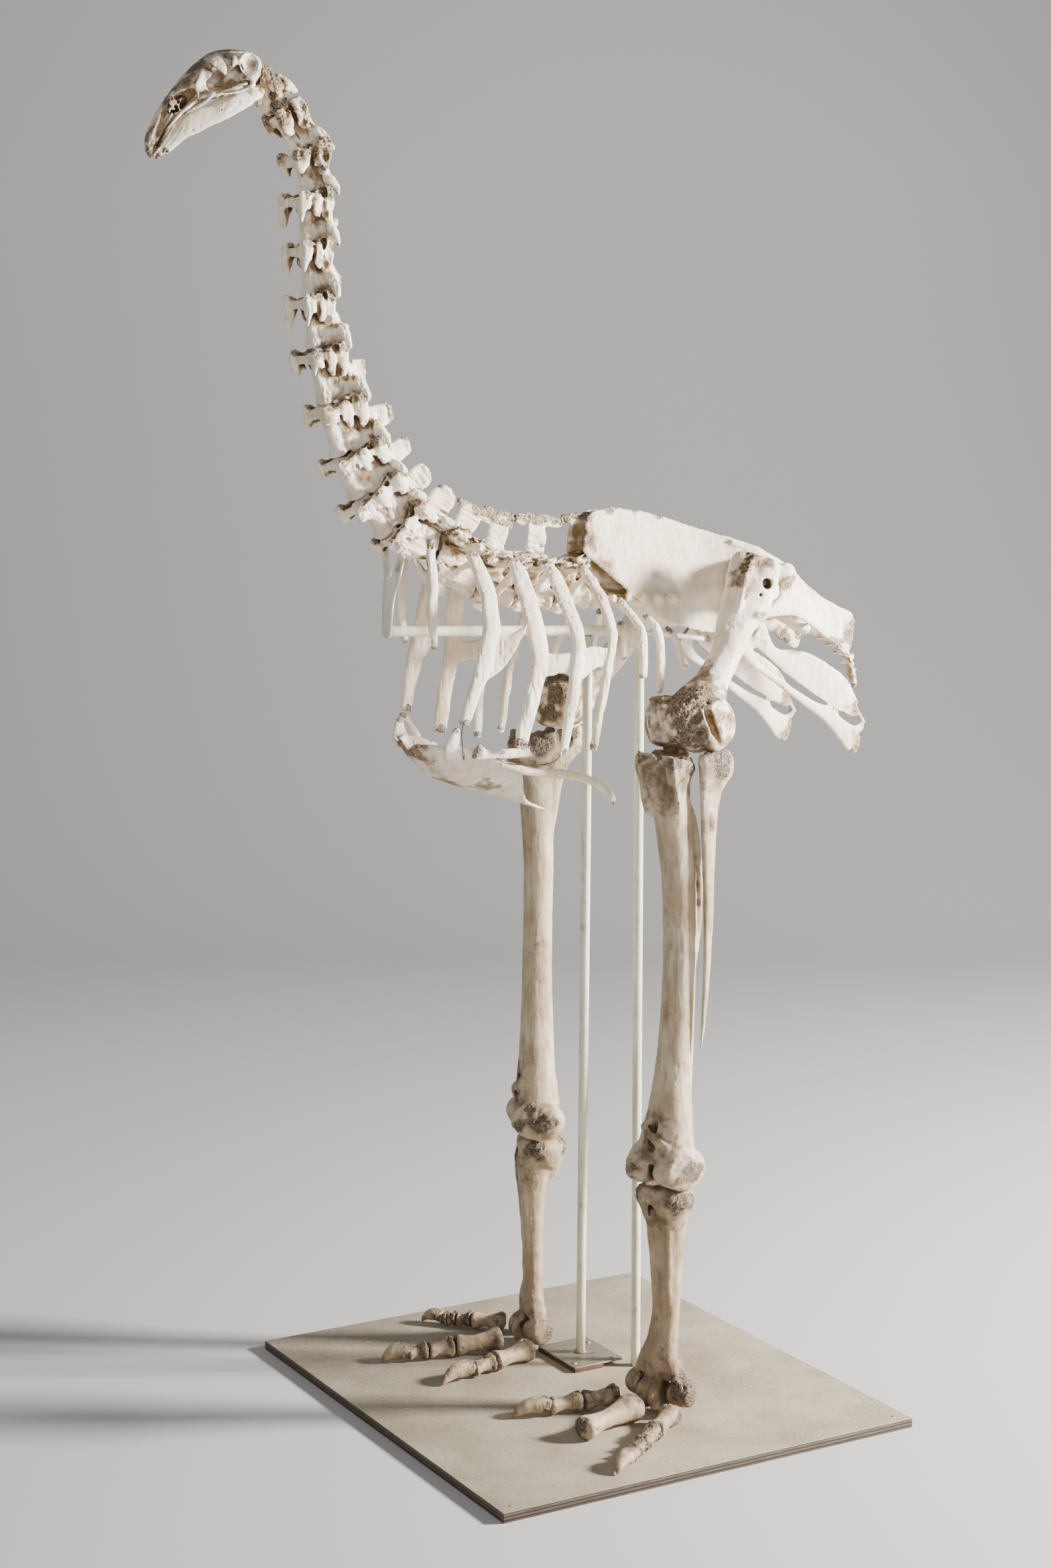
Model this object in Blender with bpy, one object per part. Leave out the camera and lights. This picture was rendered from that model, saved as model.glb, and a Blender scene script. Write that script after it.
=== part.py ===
"""A mounted moa skeleton on its stand.

The bird faces -X, its left side is -Y, and the origin is under the middle of the board.
Shapes are written in millimetres as (x, s, z), where s is the distance from the middle plane
towards the bird's left, and are turned into metres when their meshes are made.
"""

import math

import bpy
import numpy as np

MM = 0.001  # metres in a millimetre
GAP = 0.3  # clearance between pieces that touch
WELD = 0.00005  # metres; points of a fused bone that are nearer than this become one

# Stand
BOARD_LENGTH = 720.0
BOARD_WIDTH = 810.0
BOARD_THICKNESS = 15.0
ROD_RADIUS = 7.5
BEAM_RADIUS = 8.0
BEAM_FRONT = (-319.0, 0.0, 1222.0)
BEAM_REAR = (66.0, 0.0, 1209.0)
TAIL_BAR_END = (232.0, 0.0, 1190.0)
TAIL_BAR_RADIUS = 4.0
REAR_ROD_FOOT = (113.0, 0.0)
REAR_ROD_BEND = 46.0  # radius of the bend between the beam and the rear rod
FRONT_ROD_FOOT = (55.0, -76.0)
FRONT_ROD_TOP_X = 19.0
PLATE_LENGTH = 92.0
PLATE_WIDTH = 118.0
PLATE_THICKNESS = 3.0
SHIM_THICKNESS = 6.0
FORK_THICKNESS = 5.0

# Spine: points of the curve through the middles of the vertebral bodies, from the skull to the
# pelvis, and the length of each vertebra along it
SPINE_POINTS = (
    (-522, 2003), (-496, 1956), (-463, 1902), (-452, 1781), (-442, 1631), (-404, 1478),
    (-327, 1366), (-187, 1280), (-53, 1262), (13, 1262),
)
VERTEBRA_LENGTHS = (16, 38, 63, 53, 69, 73, 77, 79, 79, 68, 68, 81, 84, 67, 68, 66)
NECK_VERTEBRAE = 12
VERTEBRA_NAMES = (
    ["neck_01_atlas", "neck_02_axis"]
    + [f"neck_{number:02d}" for number in range(3, NECK_VERTEBRAE + 1)]
    + [f"back_{number:02d}" for number in range(1, 5)]
)

# Legs: where each knee, ankle and foot stands, and how far the leg is turned outwards
SIDES = ("left", "right")
LEG_TURN = {"left": 15.0, "right": 18.0}
LEG_FORWARD = {"left": 0.0, "right": 22.0}
LEG_BOW = {"left": -24.0, "right": 6.0}  # how far forward the middle of the shin bows
FOOT_SPREAD = 177.0
ANKLE_HEIGHT = 400.0
KNEE_HEIGHT = 1040.0

# Share of the faces that each kind of bone keeps once its shapes are fused
KEEP = {"axis": 0.8, "vertebra": 0.5, "skull": 0.75, "pelvis": 0.5, "sternum": 0.5, "femur": 0.7,
        "tibiotarsus": 0.6, "tarsometatarsus": 0.75, "toe": 0.6,
        "tail": 0.6, "ribs": 0.8}

MATERIALS = {
    "bone": ((0.80, 0.74, 0.62), 0.62, 0.0),
    "leg_bone": ((0.62, 0.55, 0.45), 0.62, 0.0),
    "painted_rod": ((0.74, 0.76, 0.68), 0.42, 0.0),
    "plate_metal": ((0.52, 0.50, 0.46), 0.45, 0.6),
    "shim_wood": ((0.30, 0.16, 0.08), 0.75, 0.0),
    "board_wood": ((0.55, 0.50, 0.41), 0.70, 0.0),
}


def clear_scene():
    for item in list(bpy.data.objects):
        bpy.data.objects.remove(item, do_unlink=True)


def material(name):
    """The Principled material of this name, made once."""
    found = bpy.data.materials.get(name)
    if found:
        return found
    color, roughness, metallic = MATERIALS[name]
    made = bpy.data.materials.new(name)
    made.use_nodes = True
    shader = made.node_tree.nodes["Principled BSDF"]
    shader.inputs["Base Color"].default_value = (*color, 1.0)
    shader.inputs["Roughness"].default_value = roughness
    shader.inputs["Metallic"].default_value = metallic
    return made


def smooth(rows, steps):
    """Catmull-Rom rows between the given rows, with this many steps in each interval."""
    rows = np.array(rows, float)
    if steps == 1 or len(rows) < 3:
        return rows
    first = 2 * rows[0] - rows[1]
    last = 2 * rows[-1] - rows[-2]
    knots = np.vstack([first, rows, last])
    found = []
    for start in range(1, len(knots) - 2):
        a, b, c, d = knots[start - 1 : start + 3]
        for step in range(steps):
            u = step / steps
            found.append(
                0.5 * (2 * b + (c - a) * u + (2 * a - 5 * b + 4 * c - d) * u**2
                       + (3 * b - a - 3 * c + d) * u**3)
            )
    found.append(knots[-2])
    return np.array(found)


def unit(vector):
    return vector / np.linalg.norm(vector)


def skin(rings):
    """Closed shell over a row of rings that all have the same number of points."""
    count, sides = rings.shape[:2]
    points = rings.reshape(-1, 3)
    faces = []
    for row in range(count - 1):
        for side in range(sides):
            after = (side + 1) % sides
            faces.append((row * sides + side, row * sides + after,
                          (row + 1) * sides + after, (row + 1) * sides + side))
    faces.append(tuple(reversed(range(sides))))
    faces.append(tuple(range((count - 1) * sides, count * sides)))
    return points, faces


def tube(rows, sides=6, steps=1, across=(0.0, 1.0, 0.0), twist=0.5):
    """Tube through rows (x, s, z, half width, half depth); the width lies along `across`."""
    rows = smooth(rows, steps)
    path = rows[:, :3]
    tangents = np.gradient(path, axis=0)
    angles = (np.arange(sides) + twist) * 2 * math.pi / sides
    spread = 1 / math.cos(math.pi / sides) if sides == 4 else 1  # a box keeps its full width
    rings = []
    for point, tangent, (half_width, half_depth) in zip(path, tangents, rows[:, 3:5]):
        tangent = unit(tangent)
        width = unit(np.array(across, float) - np.dot(across, tangent) * tangent)
        depth = np.cross(tangent, width)
        rings.append(point + np.outer(np.cos(angles) * half_width * spread, width)
                     + np.outer(np.sin(angles) * half_depth * spread, depth))
    return skin(np.array(rings))


def blade(rows, sides=6, steps=1):
    """Plate through rows (low x, s, z, high x, s, z, thickness), thickest along its middle."""
    rows = smooth(rows, steps)
    low, high = rows[:, 0:3], rows[:, 3:6]
    middle = (low + high) / 2
    tangents = np.gradient(middle, axis=0)
    angles = np.arange(sides) * 2 * math.pi / sides
    rings = []
    for centre, top, tangent, thick in zip(middle, high, tangents, rows[:, 6]):
        rise = top - centre
        normal = unit(np.cross(unit(tangent), rise))
        rings.append(centre + np.outer(np.cos(angles), rise)
                     + np.outer(np.sin(angles) * thick / 2, normal))
    return skin(np.array(rings))


def block(low, high):
    """Box between two corners."""
    (x0, s0, z0), (x1, s1, z1) = low, high
    rings = [[(x, s0, z0), (x, s1, z0), (x, s1, z1), (x, s0, z1)] for x in (x0, x1)]
    return skin(np.array(rings, float))


def mirrored(shape):
    points, faces = shape
    return points * (1, -1, 1), faces


def own_side(side, shapes):
    """The given left-hand shapes, mirrored if they are for the right side."""
    return [mirrored(shape) if side == "right" else shape for shape in shapes]


def both(*shapes):
    """The given left-hand shapes and their mirror images."""
    return [*shapes, *map(mirrored, shapes)]


def moved(shape, place):
    points, faces = shape
    return place(points), faces


def volume(points, faces):
    total = 0.0
    for face in faces:
        for second, third in zip(face[1:-1], face[2:]):
            total += np.dot(points[face[0]], np.cross(points[second], points[third]))
    return total / 6


def mesh_object(name, shape):
    """Object from one closed shell, in metres, with its faces turned outwards."""
    points, faces = shape
    points = np.array(points) * (MM, -MM, MM)
    if volume(points, faces) < 0:
        faces = [tuple(reversed(face)) for face in faces]
    mesh = bpy.data.meshes.new(name)
    mesh.from_pydata(points.tolist(), [], faces)
    made = bpy.data.objects.new(name, mesh)
    bpy.context.scene.collection.objects.link(made)
    return made


def fuse(name, shapes, material_name, cutters=(), keep=1.0):
    """One solid from overlapping shells, less the cutters, thinned to this share of its faces."""
    body = mesh_object(name, shapes[0])
    tools = [(mesh_object("tool", shape), "UNION") for shape in shapes[1:]]
    tools += [(mesh_object("tool", shape), "DIFFERENCE") for shape in cutters]
    for tool, operation in tools:
        modifier = body.modifiers.new("join", "BOOLEAN")
        modifier.operation = operation
        modifier.object = tool
    if keep < 1:
        weld = body.modifiers.new("weld", "WELD")
        weld.merge_threshold = WELD
        body.modifiers.new("split", "TRIANGULATE")
        thin = body.modifiers.new("thin", "DECIMATE")
        thin.ratio = keep
        thin.use_collapse_triangulate = True
    graph = bpy.context.evaluated_depsgraph_get()
    mesh = bpy.data.meshes.new_from_object(body.evaluated_get(graph))
    body.modifiers.clear()
    body.data = mesh
    for tool, _ in tools:
        bpy.data.objects.remove(tool, do_unlink=True)
    mesh.name = name
    mesh.materials.clear()
    mesh.materials.append(material(material_name))
    mesh.shade_smooth()
    mesh.set_sharp_from_angle(angle=math.radians(40))
    return body


# ---------------------------------------------------------------------------- the stand


def build_stand():
    top = BOARD_THICKNESS
    fuse("stand_board", [block((-BOARD_LENGTH / 2, -BOARD_WIDTH / 2, 0),
                               (BOARD_LENGTH / 2, BOARD_WIDTH / 2, top))], "board_wood")

    foot_x, foot_s = FRONT_ROD_FOOT
    shim_top = top + GAP + SHIM_THICKNESS
    fuse("stand_shim", [block((foot_x - PLATE_LENGTH / 2, foot_s - PLATE_WIDTH / 2, top + GAP),
                              (foot_x + 8, foot_s + PLATE_WIDTH / 2, shim_top))], "shim_wood")
    plate_low = shim_top + GAP
    plate_top = plate_low + PLATE_THICKNESS
    fuse("stand_plate", [block((foot_x - PLATE_LENGTH / 2, foot_s - PLATE_WIDTH / 2, plate_low),
                               (foot_x + PLATE_LENGTH / 2, foot_s + PLATE_WIDTH / 2, plate_top))],
         "plate_metal")

    beam = [(*BEAM_FRONT, BEAM_RADIUS, BEAM_RADIUS), (*BEAM_REAR, BEAM_RADIUS, BEAM_RADIUS)]
    tail_bar = [(BEAM_REAR[0] - 20, 0, BEAM_REAR[2] + 3, TAIL_BAR_RADIUS, TAIL_BAR_RADIUS),
                (*TAIL_BAR_END, TAIL_BAR_RADIUS, TAIL_BAR_RADIUS)]
    fuse("stand_beam", [tube(beam, sides=12), tube(tail_bar, sides=6)], "painted_rod")

    rear_x = REAR_ROD_FOOT[0]
    bend = REAR_ROD_BEND
    start_x = rear_x - bend
    height = BEAM_REAR[2]
    rear = [(start_x + GAP, 0, height)]
    rear += [(start_x + bend * math.sin(a), 0, height - bend + bend * math.cos(a))
             for a in np.radians(np.linspace(15, 90, 6))]
    rear += [(rear_x, 0, top + GAP)]
    rear = [(*point, ROD_RADIUS, ROD_RADIUS) for point in rear]
    tail_space = [(BEAM_REAR[0] - 25, 0, BEAM_REAR[2] + 3, TAIL_BAR_RADIUS + 1, TAIL_BAR_RADIUS + 1),
                  (*TAIL_BAR_END, TAIL_BAR_RADIUS + 1, TAIL_BAR_RADIUS + 1)]
    fuse("stand_rod_rear", [tube(rear, sides=10)], "painted_rod",
         cutters=[tube(tail_space, sides=6)])

    along = (FRONT_ROD_TOP_X - BEAM_FRONT[0]) / (BEAM_REAR[0] - BEAM_FRONT[0])
    beam_low = BEAM_FRONT[2] + along * (BEAM_REAR[2] - BEAM_FRONT[2]) - BEAM_RADIUS
    front = [(foot_x, foot_s, plate_top + GAP + 0.7), (FRONT_ROD_TOP_X, 0, beam_low - GAP - 0.5)]
    front = [(*point, ROD_RADIUS, ROD_RADIUS) for point in front]
    fuse("stand_rod_front", [tube(front, sides=10)], "painted_rod")

    half = FORK_THICKNESS / 2
    shaft = [(-325, 0, 1213, half, 6), (-327, 0, 1222, half, 12), (-326, 0, 1265, half, 14),
             (-319, 0, 1300, half, 17)]
    prong = [(-320, 3, 1290, half, 8), (-322, 14, 1312, half, 8), (-320, 27, 1334, half, 7)]
    fuse("stand_fork", [tube(shaft, sides=8), *both(tube(prong, sides=6))], "painted_rod",
         cutters=[tube([(-318.5 - BEAM_RADIUS / 2, 0, 1222, 9, 9), (-300, 0, 1222, 9, 9)], sides=12)])


# ---------------------------------------------------------------------------- the spine


def spine_joints():
    """Ends of the vertebrae: points along the spine's curve, one vertebra length apart."""
    curve = smooth(SPINE_POINTS, 24)
    run = np.concatenate([[0], np.cumsum(np.linalg.norm(np.diff(curve, axis=0), axis=1))])
    wanted = np.concatenate([[0.0], np.cumsum(VERTEBRA_LENGTHS)])
    wanted *= run[-1] / wanted[-1]
    return np.column_stack([np.interp(wanted, run, curve[:, axis]) for axis in (0, 1)])


def at_vertebra(number, sizes):
    """Size of this vertebra, read between the sizes named for some of the others."""
    return float(np.interp(number, list(sizes), list(sizes.values())))


# Sizes by vertebra number: the body's radius, how high the spine stands above the body's middle,
# how far out and how low the rib processes sit, and the place of the joint in front of each one
BODY_RADIUS = {1: 9, 3: 10, 8: 13, 11: 17, 16: 21}
SPINE_HEIGHT = {2: 30, 3: 42, 4: 45, 5: 55, 6: 55, 7: 66, 8: 80, 9: 101, 11: 113, 13: 118, 16: 122}
RIB_PROCESS_REACH = {3: 24, 5: 27, 8: 33, 10: 33, 12: 28}
RIB_PROCESS_DROP = {3: 7, 5: 10, 8: 11, 9: 6, 10: 10, 11: 20, 12: 14}
JOINT_HEIGHT = {2: 24, 3: 32, 4: 40, 5: 39, 6: 35, 7: 32, 8: 43, 9: 58, 10: 69, 12: 70, 14: 64, 17: 58}
JOINT_REACH = {2: 13, 4: 19, 8: 20, 11: 26, 17: 17}
HINGE_LAP = {10: 0.05, 12: -0.03}
SPINE_PLACE = {3: 0.5, 7: 0.56, 9: 0.46, 11: 0.34, 13: 0.38, 16: 0.6}


def vertebra_frame(front, back):
    """Length of a vertebra, and the mapping from its own (t, s, h) to (x, s, z)."""
    length = float(np.linalg.norm(back - front))
    along = (back - front) / length
    dorsal = np.array([-along[1], along[0]])

    def place(points):
        t, s, h = np.array(points).T
        return np.column_stack([front[0] + t * along[0] + h * dorsal[0], s,
                                front[1] + t * along[1] + h * dorsal[1]])

    return length, place


def body_and_arch(number, length):
    radius = at_vertebra(number, BODY_RADIUS)
    hinge = at_vertebra(number + 0.5, JOINT_HEIGHT)
    up = (0.0, 1.0, 0.0)
    body = tube([(1.2, 0, 0, radius * 0.6, radius * 0.55), (6, 0, 0, radius, radius * 0.9),
                 (length / 2, 0, 1, radius * 0.78, radius * 0.75),
                 (length - 7, 0, 0, radius * 1.05, radius * 0.95),
                 (length - 1.2, 0, 0, radius * 0.7, radius * 0.6)], sides=6, across=up)
    middle = hinge * 0.5
    arch = tube([(length * 0.12, 0, middle, radius * 1.05, hinge * 0.42),
                 (length * 0.5, 0, middle, radius * 0.9, hinge * 0.46),
                 (length * 0.86, 0, middle + 2, radius * 1.0, hinge * 0.40)], sides=4, across=up)
    return [body, arch]


def hinge_bars(number, length):
    """Bar on each side that ends in the front and rear joint surfaces of the arch."""
    front_height = at_vertebra(number, JOINT_HEIGHT) - 5
    rear_height = at_vertebra(number + 1, JOINT_HEIGHT) + 5
    front_reach = at_vertebra(number, JOINT_REACH)
    rear_reach = at_vertebra(number + 1, JOINT_REACH)
    lap = at_vertebra(number, HINGE_LAP)
    rear_end = 0.96 + lap if number < len(VERTEBRA_NAMES) else 0.8  # the last one meets the pelvis
    thick = 3.6
    return both(tube([(-length * lap, front_reach, front_height, thick, thick * 0.8),
                      (length * 0.16, front_reach * 0.95, front_height - 3, thick * 1.7, thick * 1.5),
                      (length * 0.62, rear_reach * 0.75, rear_height - 7, thick * 1.6, thick * 1.4),
                      (length * rear_end, rear_reach, rear_height, thick, thick * 0.8)],
                     sides=4, across=(0.0, 1.0, 0.0)))


def rib_processes(number, length):
    """The ring on each side of a neck vertebra and the spike that trails from it."""
    reach = at_vertebra(number, RIB_PROCESS_REACH)
    drop = at_vertebra(number, RIB_PROCESS_DROP)
    radius = at_vertebra(number, BODY_RADIUS)
    hinge = at_vertebra(number, JOINT_HEIGHT)
    long_axis = (1.0, 0.0, 0.0)
    root = tube([(length * 0.16, radius * 0.4, -2, 6, 4), (length * 0.16, reach, -drop, 7, 4)],
                sides=4, across=long_axis)
    strut = tube([(length * 0.26, radius * 0.5, hinge * 0.6, 7, 4),
                  (length * 0.16, reach, -drop + 7, 8, 4)], sides=4, across=long_axis)
    spike = tube([(-length * 0.04, reach, -drop + 4, 3, 7), (length * 0.2, reach + 1, -drop, 4, 12),
                  (length * 0.42, reach - 1, -drop - 5, 3.4, 7),
                  (length * 0.66, reach - 3, -drop - 9, 2, 3)], sides=4)
    return both(root, strut, spike) if number < NECK_VERTEBRAE else both(root, strut)


def spine_blade(number, length):
    height = at_vertebra(number, SPINE_HEIGHT)
    low = at_vertebra(number + 0.3, JOINT_HEIGHT) * 0.6
    thick = 9 if number > NECK_VERTEBRAE else 14
    place = at_vertebra(number, SPINE_PLACE)
    rows = ((-0.20, 0.98, 0.8), (-0.02, 1.0, 1.0), (0.16, 0.93, 0.9))
    return blade([(length * (place + 0.6 * step), 0, low, length * (place + step), 0,
                   height * rise, thick * wide) for step, rise, wide in rows], sides=4)


def back_processes(number, length):
    """The side processes that carry the ribs, and the keel under the body."""
    hinge = at_vertebra(number, JOINT_HEIGHT)
    radius = at_vertebra(number, BODY_RADIUS)
    side = tube([(length * 0.3, radius * 0.5, hinge * 0.72, 10, 6),
                 (length * 0.34, 44, hinge * 0.80, 8, 5)], sides=4, across=(1.0, 0.0, 0.0))
    facet = tube([(length * 0.14, radius * 0.5, 4, 7, 7), (length * 0.16, radius + 5, 4, 5, 5)],
                 sides=4, across=(1.0, 0.0, 0.0))
    keel_drop = max(radius + 22 - 6 * (number - NECK_VERTEBRAE), radius + 3)
    keel = blade([(length * 0.14, 0, -keel_drop, length * 0.14, 0, 0, 7),
                  (length * 0.55, 0, -keel_drop * 0.9, length * 0.55, 0, 0, 6)], sides=4)
    return [*both(side, facet), keel]


def build_atlas(length, place):
    ring = tube([(1, 0, 2, 14, 11), (length - 1.5, 0, 2, 13, 11)], sides=8)
    canal = tube([(-9, 0, 6, 6, 4), (length + 9, 0, 6, 6, 4)], sides=6)
    fuse("neck_01_atlas", [moved(ring, place)], "bone", cutters=[moved(canal, place)])


def build_axis(length, place):
    body = tube([(1.2, 0, 1, 8, 8), (6, 0, 1, 13, 11), (length - 7, 0, 0, 10, 10),
                 (length - 1.2, 0, 0, 7, 6)], sides=6)
    arch = blade([(2, 0, 19, -29, 0, 24, 10), (7, 0, 4, -16, 0, 34, 22),
                  (18, 0, 3, 2, 0, 40, 26), (29, 0, 3, 21, 0, 34, 22)], sides=6)
    keel = blade([(7, 0, 0, 9, 0, -22, 8), (22, 0, 0, 22, 0, -15, 6)], sides=4)
    horns = both(tube([(10, 8, 28, 6, 7), (24, 11, 35, 5, 5), (36, 13, 37, 3.5, 3)], sides=4))
    fuse("neck_02_axis", [moved(shape, place) for shape in (body, arch, keel, *horns)], "bone",
         keep=KEEP["axis"])


def build_spine():
    joints = spine_joints()
    for index, name in enumerate(VERTEBRA_NAMES):
        number = index + 1
        length, place = vertebra_frame(joints[index], joints[index + 1])
        if number == 1:
            build_atlas(length, place)
            continue
        if number == 2:
            build_axis(length, place)
            continue
        shapes = body_and_arch(number, length) + hinge_bars(number, length)
        shapes.append(spine_blade(number, length))
        if number <= NECK_VERTEBRAE:
            shapes += rib_processes(number, length)
        else:
            shapes += back_processes(number, length)
        fuse(name, [moved(shape, place) for shape in shapes], "bone", keep=KEEP["vertebra"])


# ---------------------------------------------------------------------------- the head


def build_skull():
    sections = (  # point of the roof, point of the floor and half width, from the back to the beak
        ((-521, 2018), (-524, 2008), 8),
        ((-527, 2033), (-532, 1996), 26),
        ((-550, 2041), (-549, 1990), 37),
        ((-576, 2041), (-572, 1984), 34),
        ((-600, 2033), (-594, 1978), 30),
        ((-627, 2010), (-616, 1970), 25),
        ((-652, 1983), (-637, 1956), 19),
        ((-679, 1947), (-660, 1934), 12),
        ((-694, 1916), (-676, 1910), 8),
        ((-695, 1899), (-685, 1899), 5),
        ((-689, 1885), (-687, 1886), 2),
    )
    rows = [(floor[0], 0, floor[1], roof[0], 0, roof[1], 2 * half) for roof, floor, half in sections]
    temple = tube([(-548, 24, 2020, 10, 12), (-548, 36, 2020, 14, 17), (-548, 40, 2019, 7, 9)],
                  sides=8, across=(1.0, 0.0, 0.0))
    quadrate = tube([(-549, 30, 2004, 6, 6), (-552, 37, 1990, 8, 7)], sides=6)
    brow = tube([(-596, 22, 2026, 8, 7), (-588, 36, 2012, 6, 5), (-582, 39, 2000, 3, 3)], sides=5)
    cheek = tube([(-556, 35, 1990, 3, 4), (-590, 33, 1981, 3, 4), (-622, 22, 1968, 4, 5)], sides=4)
    orbit = tube([(-576, 46, 2004, 17, 15), (-577, 8, 2004, 11, 10)], sides=8,
                 across=(1.0, 0.0, 0.0))
    nostril = tube([(-645, 34, 1970, 13, 17), (-645, 5, 1972, 9, 11)], sides=6,
                   across=(1.0, 0.0, 0.0))
    fuse("skull", [blade(rows, sides=10), *both(temple, quadrate, brow, cheek)], "bone",
         cutters=both(orbit, nostril), keep=KEEP["skull"])


def build_jaw():
    """The two rami and the tip that joins them."""
    ramus = blade([(-547, 38, 1965, -545, 38, 1981, 8), (-570, 35, 1950, -577, 35, 1972, 6),
                   (-604, 28, 1933, -609, 28, 1962, 6), (-641, 17, 1913, -645, 16, 1937, 7),
                   (-659, 8, 1897, -661, 8, 1916, 8), (-671, 3, 1888, -671, 3, 1899, 8),
                   (-680, 0.5, 1884, -679, 0.5, 1891, 6)], sides=6)
    fuse("jaw", both(ramus), "bone")


# ---------------------------------------------------------------------------- the pelvis


HIP = (286.0, 1272.0)
SOCKET_DEPTH = 72.0


def build_pelvis():
    ilium = blade([(-5, 24, 1330, 4, 14, 1386, 6), (30, 34, 1300, 45, 9, 1399, 10),
                   (75, 45, 1262, 95, 9, 1395, 10), (118, 56, 1228, 140, 9, 1387, 10),
                   (195, 70, 1204, 215, 15, 1365, 12), (250, 84, 1206, 262, 28, 1351, 16),
                   (300, 88, 1230, 302, 48, 1336, 18)], sides=6, steps=2)
    rump = blade([(290, 84, 1226, 300, 48, 1336, 20), (340, 86, 1228, 344, 60, 1309, 14),
                  (385, 83, 1206, 398, 66, 1264, 10), (432, 76, 1175, 440, 69, 1241, 9),
                  (462, 70, 1159, 470, 68, 1228, 9), (474, 68, 1184, 483, 67, 1208, 6)],
                 sides=6)
    hip_block = tube([(HIP[0] - 6, 34, HIP[1] + 4, 40, 42), (HIP[0] - 4, 92, HIP[1], 46, 50)],
                     sides=8, across=(1.0, 0.0, 0.0))
    ischium = blade([(262, 86, 1186, 290, 86, 1226, 14), (300, 90, 1155, 312, 90, 1178, 10),
                     (345, 92, 1121, 362, 92, 1172, 8), (400, 93, 1086, 410, 93, 1151, 7),
                     (443, 93, 1064, 447, 93, 1124, 7), (464, 93, 1060, 471, 93, 1084, 6)],
                    sides=6)
    pubis = blade([(236, 82, 1178, 262, 82, 1206, 14), (262, 88, 1151, 272, 88, 1167, 9),
                   (296, 90, 1129, 303, 90, 1142, 8), (355, 93, 1089, 366, 93, 1102, 8),
                   (405, 95, 1052, 420, 95, 1074, 8), (440, 96, 1012, 456, 96, 1051, 8),
                   (462, 96, 998, 482, 96, 1060, 6)], sides=6)
    bridge = tube([(468, 93, 1072, 3, 5), (478, 95, 1050, 3, 6)], sides=4)
    body = tube([(28, 0, 1262, 20, 19), (90, 0, 1262, 22, 18), (180, 0, 1262, 26, 18),
                 (286, 0, 1262, 30, 18), (360, 0, 1236, 24, 13), (432, 0, 1196, 14, 10)], sides=8)
    keel = blade([(19, 0, 1262, 14, 0, 1380, 9), (90, 0, 1262, 95, 0, 1386, 10),
                  (190, 0, 1262, 190, 0, 1364, 14), (300, 0, 1262, 300, 0, 1328, 16),
                  (380, 0, 1228, 384, 0, 1268, 12)], sides=4)
    shield = blade([(256, -42, 1345, 256, 42, 1345, 10), (326, -62, 1312, 326, 62, 1312, 9),
                    (400, -70, 1258, 400, 70, 1258, 9), (455, -70, 1226, 455, 70, 1226, 8)],
                   sides=6)
    struts = [tube([(x, 10, 1262, 8, 6), (x + 6, reach, 1262, 7, 6)], sides=4,
                   across=(1.0, 0.0, 0.0)) for x, reach in ((34, 44), (84, 52), (134, 60))]
    socket = tube([(HIP[0], SOCKET_DEPTH, HIP[1], 17, 17), (HIP[0], 80, HIP[1], 24, 24),
                   (HIP[0], 120, HIP[1], 27, 27)], sides=10, across=(1.0, 0.0, 0.0))
    fuse("pelvis",
         [body, keel, shield, *both(ilium, rump, hip_block, ischium, pubis, bridge, *struts)],
         "bone", cutters=both(socket), keep=KEEP["pelvis"])


def build_tail():
    """The last few vertebrae, which taper behind the pelvis."""
    chain = tube([(450, 0, 1199, 13, 12), (470, 0, 1189, 9, 9), (486, 0, 1180, 13, 12),
                  (500, 0, 1168, 8, 8), (511, 0, 1156, 11, 11), (519, 0, 1143, 7, 7),
                  (524, 0, 1130, 9, 9), (528, 0, 1114, 5, 6), (531, 0, 1098, 3, 5)], sides=6)
    spines = blade([(455, 0, 1196, 465, 0, 1216, 6), (486, 0, 1180, 498, 0, 1200, 5),
                    (510, 0, 1156, 525, 0, 1170, 5), (522, 0, 1132, 535, 0, 1138, 4)], sides=4)
    wings = [tube([(x, reach, z, 5, 3), (x, -reach, z, 5, 3)], sides=4, across=(1.0, 0.0, 0.0))
             for x, z, reach in ((458, 1190, 30), (486, 1176, 27), (510, 1153, 21))]
    fuse("tail", [chain, spines, *wings], "bone", keep=KEEP["tail"])


# ---------------------------------------------------------------------------- the ribs

# Each rib runs down and outwards through (x, s, z) with its half width along the body
RIBS = {
    1: ((-285, 55, 1356, 6), (-288, 68, 1312, 6), (-290, 73, 1266, 5), (-284, 68, 1200, 4)),
    2: ((-224, 56, 1352, 12), (-218, 82, 1322, 13), (-210, 108, 1278, 14), (-206, 118, 1228, 14),
        (-218, 120, 1176, 13), (-240, 112, 1128, 11), (-255, 106, 1092, 9)),
    3: ((-160, 58, 1332, 12), (-152, 88, 1306, 14), (-139, 118, 1256, 15), (-135, 134, 1190, 15),
        (-152, 134, 1124, 13), (-173, 126, 1056, 11)),
    4: ((-97, 58, 1322, 10), (-92, 88, 1300, 12), (-81, 122, 1252, 12), (-77, 140, 1200, 11),
        (-94, 142, 1120, 10), (-104, 132, 1044, 7)),
    5: ((-36, 56, 1302, 8), (-30, 86, 1282, 10), (-18, 120, 1238, 9), (-20, 140, 1196, 8),
        (-38, 145, 1130, 7), (-56, 140, 1050, 6)),
    6: ((35, 62, 1262, 7), (44, 92, 1236, 7), (46, 114, 1212, 7), (38, 130, 1176, 7),
        (34, 134, 1148, 6)),
    7: ((82, 64, 1238, 6), (90, 86, 1212, 7), (86, 104, 1170, 7), (75, 118, 1124, 6)),
    8: ((118, 66, 1216, 5), (130, 76, 1200, 6), (140, 88, 1156, 5)),
}
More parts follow.
